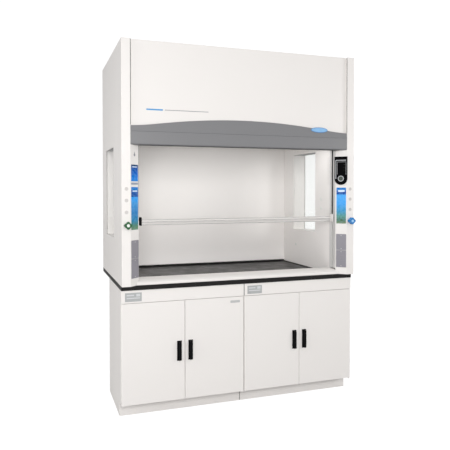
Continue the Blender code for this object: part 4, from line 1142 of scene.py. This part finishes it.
def makeLamp():
    low, high = lowHigh("light_fixture")
    side, corner, slope, skirt, flat, wide = lampShape.values()
    front, back, bottom, top = behind(low.y), behind(high.y), low.z / inch, high.z / inch
    middle = (front + back) / 2
    path = [(front + side, top), (front + side, bottom + skirt), (front + corner, bottom + slope),
            (middle - flat, bottom), (middle + flat, bottom), (back - corner, bottom + slope),
            (back - side, bottom + skirt), (back - side, top)]
    lens = startFlat("lampLens", fromFront(path), low.x + corner * inch, high.x - corner * inch, "x")
    roundEdges(lens, 0.05, 2, 25)
    finishPiece(lens, lampOpal, "root", ["light_fixture"])
    wide *= inch
    ends = [roundEdges(startBox("lampEnd", (x, low.y, low.z), (x + wide, high.y, high.z)), 0.09)
            for x in (low.x, high.x - wide)]
    finishPiece(gather("lampEnds", ends), whiteEnamel)


makeLamp()
print("lamp made")


def makeJointStrips():
    # a dark bead where the two cabinets meet, a dark strip on the cabinet frame behind the doors' meeting gap as
    # painted shade there, and the gasket beside each end of the upper panel
    # the frame strip is painted shade: the frame behind the gap is white, and the strip is dark because that gap
    # lies in shadow
    beads = [roundEdges(startBox(name, at(-wide, y0, z0), at(wide, y1, z1)), 0.008, 2)
             for name, wide, y0, y1, z0, z1 in (("apronBead", 0.09, 1.48, 1.4995, 32.0, 35.45),
                                                ("frameGapShade", 0.14, 2.29, 2.3295, 4.2, 31.8),
                                                ("toeBead", 0.07, 4.97, 4.9995, 0.1, 3.9))]
    finishPiece(gather("cabinetJointsAndGapShade", beads), rubberSeal)
    low, high = lowHigh("upper_front_panel")
    edge, top = high.x / inch, high.z / inch - 0.1
    gaskets = [roundEdges(sideBox("gasket", side, (edge - 0.13, 0.004, 80.2),
                                  (edge + 0.016, behind(low.y - 0.00004), top)), 0.01, 2) for side in (-1, 1)]
    finishPiece(gather("panelGaskets", gaskets), rubberSeal)


makeJointStrips()
print("joint strips made")


sleeveShape = {"lap": 0.5, "wall": 0.06, "off": 0.0004}


def makeSleeves():
    # the white sleeve between the two panes of each side window; the underside of its top is painted shade, a
    # grey where it lies in shadow
    lap, off = sleeveShape["lap"] * inch, sleeveShape["off"]
    for word, side in sides.items():
        innerLow, innerHigh = lowHigh(word + "_inner_window")
        outerLow, outerHigh = lowHigh(word + "_outer_window")
        near, far = outerHigh.x + off, innerLow.x - off
        if side > 0:
            near, far = innerHigh.x + off, outerLow.x - off
        sleeve = startBox(word + "WindowSleeve", (near, innerLow.y + lap, innerLow.z + lap),
                          (far, innerHigh.y - lap, innerHigh.z - lap))
        editWhere(sleeve, "FACE", lambda face: abs(face.normal.x) > 0.9)
        bpy.ops.mesh.delete(type="ONLY_FACE")
        bpy.ops.object.mode_set(mode="OBJECT")
        wall = sleeve.modifiers.new("wall", "SOLIDIFY")
        wall.thickness = sleeveShape["wall"] * inch
        wall.offset = 1
        mergeAndTurnOut(applyAll(sleeve))
        roundEdges(sleeve, 0.012, 2, 50)
        finishPiece(sleeve, linerWhite)
        # painted shade: a grey second material on the underside of the sleeve's top
        sleeve.data.materials.append(jambShadeGrey)
        for face in sleeve.data.polygons:
            if face.normal.z < -0.9 and face.center.z > innerHigh.z - lap - 0.3 * inch:
                face.material_index = 1


makeSleeves()
print("window sleeves made")


def makeSashTrims():
    # dark strips along the rail as painted shade lines at its top and bottom edges and above its lip, a pale
    # guide in the bottom of each track slot, and a dark seal under the header as a painted shade line along its
    # bottom edge
    low, high = lowHigh("sash_handle_rail")
    near, far = low.x + 0.02 * inch, high.x - 0.02 * inch
    # painted shade: thin dark strips that draw the shade lines at the rail's edges and lip
    shadeLines = [startBox("shadeLine", (near, depth(3.25), z * inch), (far, depth(3.30), (z + 0.07) * inch))
              for z in (54.43, 53.90, 53.10)]
    for shadeLine in shadeLines:
        roundEdges(shadeLine, 0.008, 1)
    finishPiece(gather("railShadeLines", shadeLines), rubberSeal, "sash")
    guides = []
    for side in (-1, 1):
        guide = sideBox("guide", side, (31.57, 3.43, 38.5), (31.77, 4.17, 102.6))
        insetFaces(guide, lambda face: face.normal.x * side < -0.9, (0.12, 0), (0.02, -0.06))
        guides.append(roundEdges(guide, 0.02, 2))
    finishPiece(gather("trackGuides", guides), capWhite)
    # painted shade: a dark strip under the header's bottom edge that draws the shade line there
    seal = [(0.30, 74.945), (0.30, 74.88), (0.36, 74.84), (0.60, 74.84), (0.66, 74.88), (0.66, 74.945)]
    finishPiece(startFlat("headerShadeLine", fromFront(seal), -31.0 * inch, 31.0 * inch, "x"), rubberSeal)


def alike(piece):
    # another one with a mesh of its own
    pickOnly(piece)
    bpy.ops.object.duplicate()
    return bpy.context.object


def spread(low, high, margin, steps):
    return [low + margin * inch + (high - low - 2 * margin * inch) * n / steps for n in range(steps + 1)]


def makePanelScrews():
    # small pan heads round the sheets that come off for service
    pattern = makeScrew((0, 0, 0), 0.17, 0.045, 16)
    low, high = lowHigh("rear_panel")
    turned = Matrix.Rotation(math.pi, 4, "Z")
    across, up = spread(low.x, high.x, 1.2, 5), spread(low.z, high.z, 1.2, 4)
    places = [(x, z) for x in across for z in (up[0], up[-1])]
    places += [(x, z) for x in (across[0], across[-1]) for z in up[1:-1]]
    heads = [moved(alike(pattern), Matrix.Translation((x, high.y, z)) @ turned) for x, z in places]
    finishPiece(gather("rearPanelScrews", heads), screwSteel)
    for word, side in sides.items():
        low, high = lowHigh(word + "_outer_panel")
        turned = Matrix.Rotation(math.radians(90 * side), 4, "Z")
        face = high.x if side > 0 else low.x
        heads = [moved(alike(pattern), Matrix.Translation((face, y, z)) @ turned)
                 for y in (low.y + inch, high.y - inch) for z in spread(low.z, high.z, 1.4, 4)]
        finishPiece(gather(word + "PanelScrews", heads), paintedScrew)
    bpy.data.objects.remove(pattern)


makeSashTrims()
makePanelScrews()
print("trims and screws made")


dressed = {
    whiteEnamel: ("cabinet_left_body", "cabinet_right_body", "left_outer_panel", "right_outer_panel",
                  "left_corner_post", "right_corner_post", "rear_panel", "roof_panel", "upper_front_panel"),
    linerWhite: ("left_inner_liner", "right_inner_liner", "rear_baffle", "chamber_ceiling"),
    trackMetal: ("left_sash_track", "right_sash_track", "sash_top_clamp"),
    shaftSteel: ("front_pulley_shaft", "rear_pulley_shaft"),
    sheetSteel: ("left_pulley_bracket", "right_pulley_bracket", "fan_plenum"),
    castPaint: ("counterweight_bar",),
    blackTextured: ("left_fan_impeller", "right_fan_impeller"),
    filterMedia: ("filter_bank",),
    twistedCable: ("left_top_cable", "right_top_cable"),
    valveBrass: ("left_valve_body", "right_valve_body"),
    clearGlass: ("sash_glass",),
    windowGlass: ("left_inner_window", "right_inner_window"),
    outerPane: ("left_outer_window", "right_outer_window"),
}
for finish, nodes in dressed.items():
    for node in nodes:
        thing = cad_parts[node]
        thing.data.materials.clear()
        thing.data.materials.append(finish)
print("frame dressed")
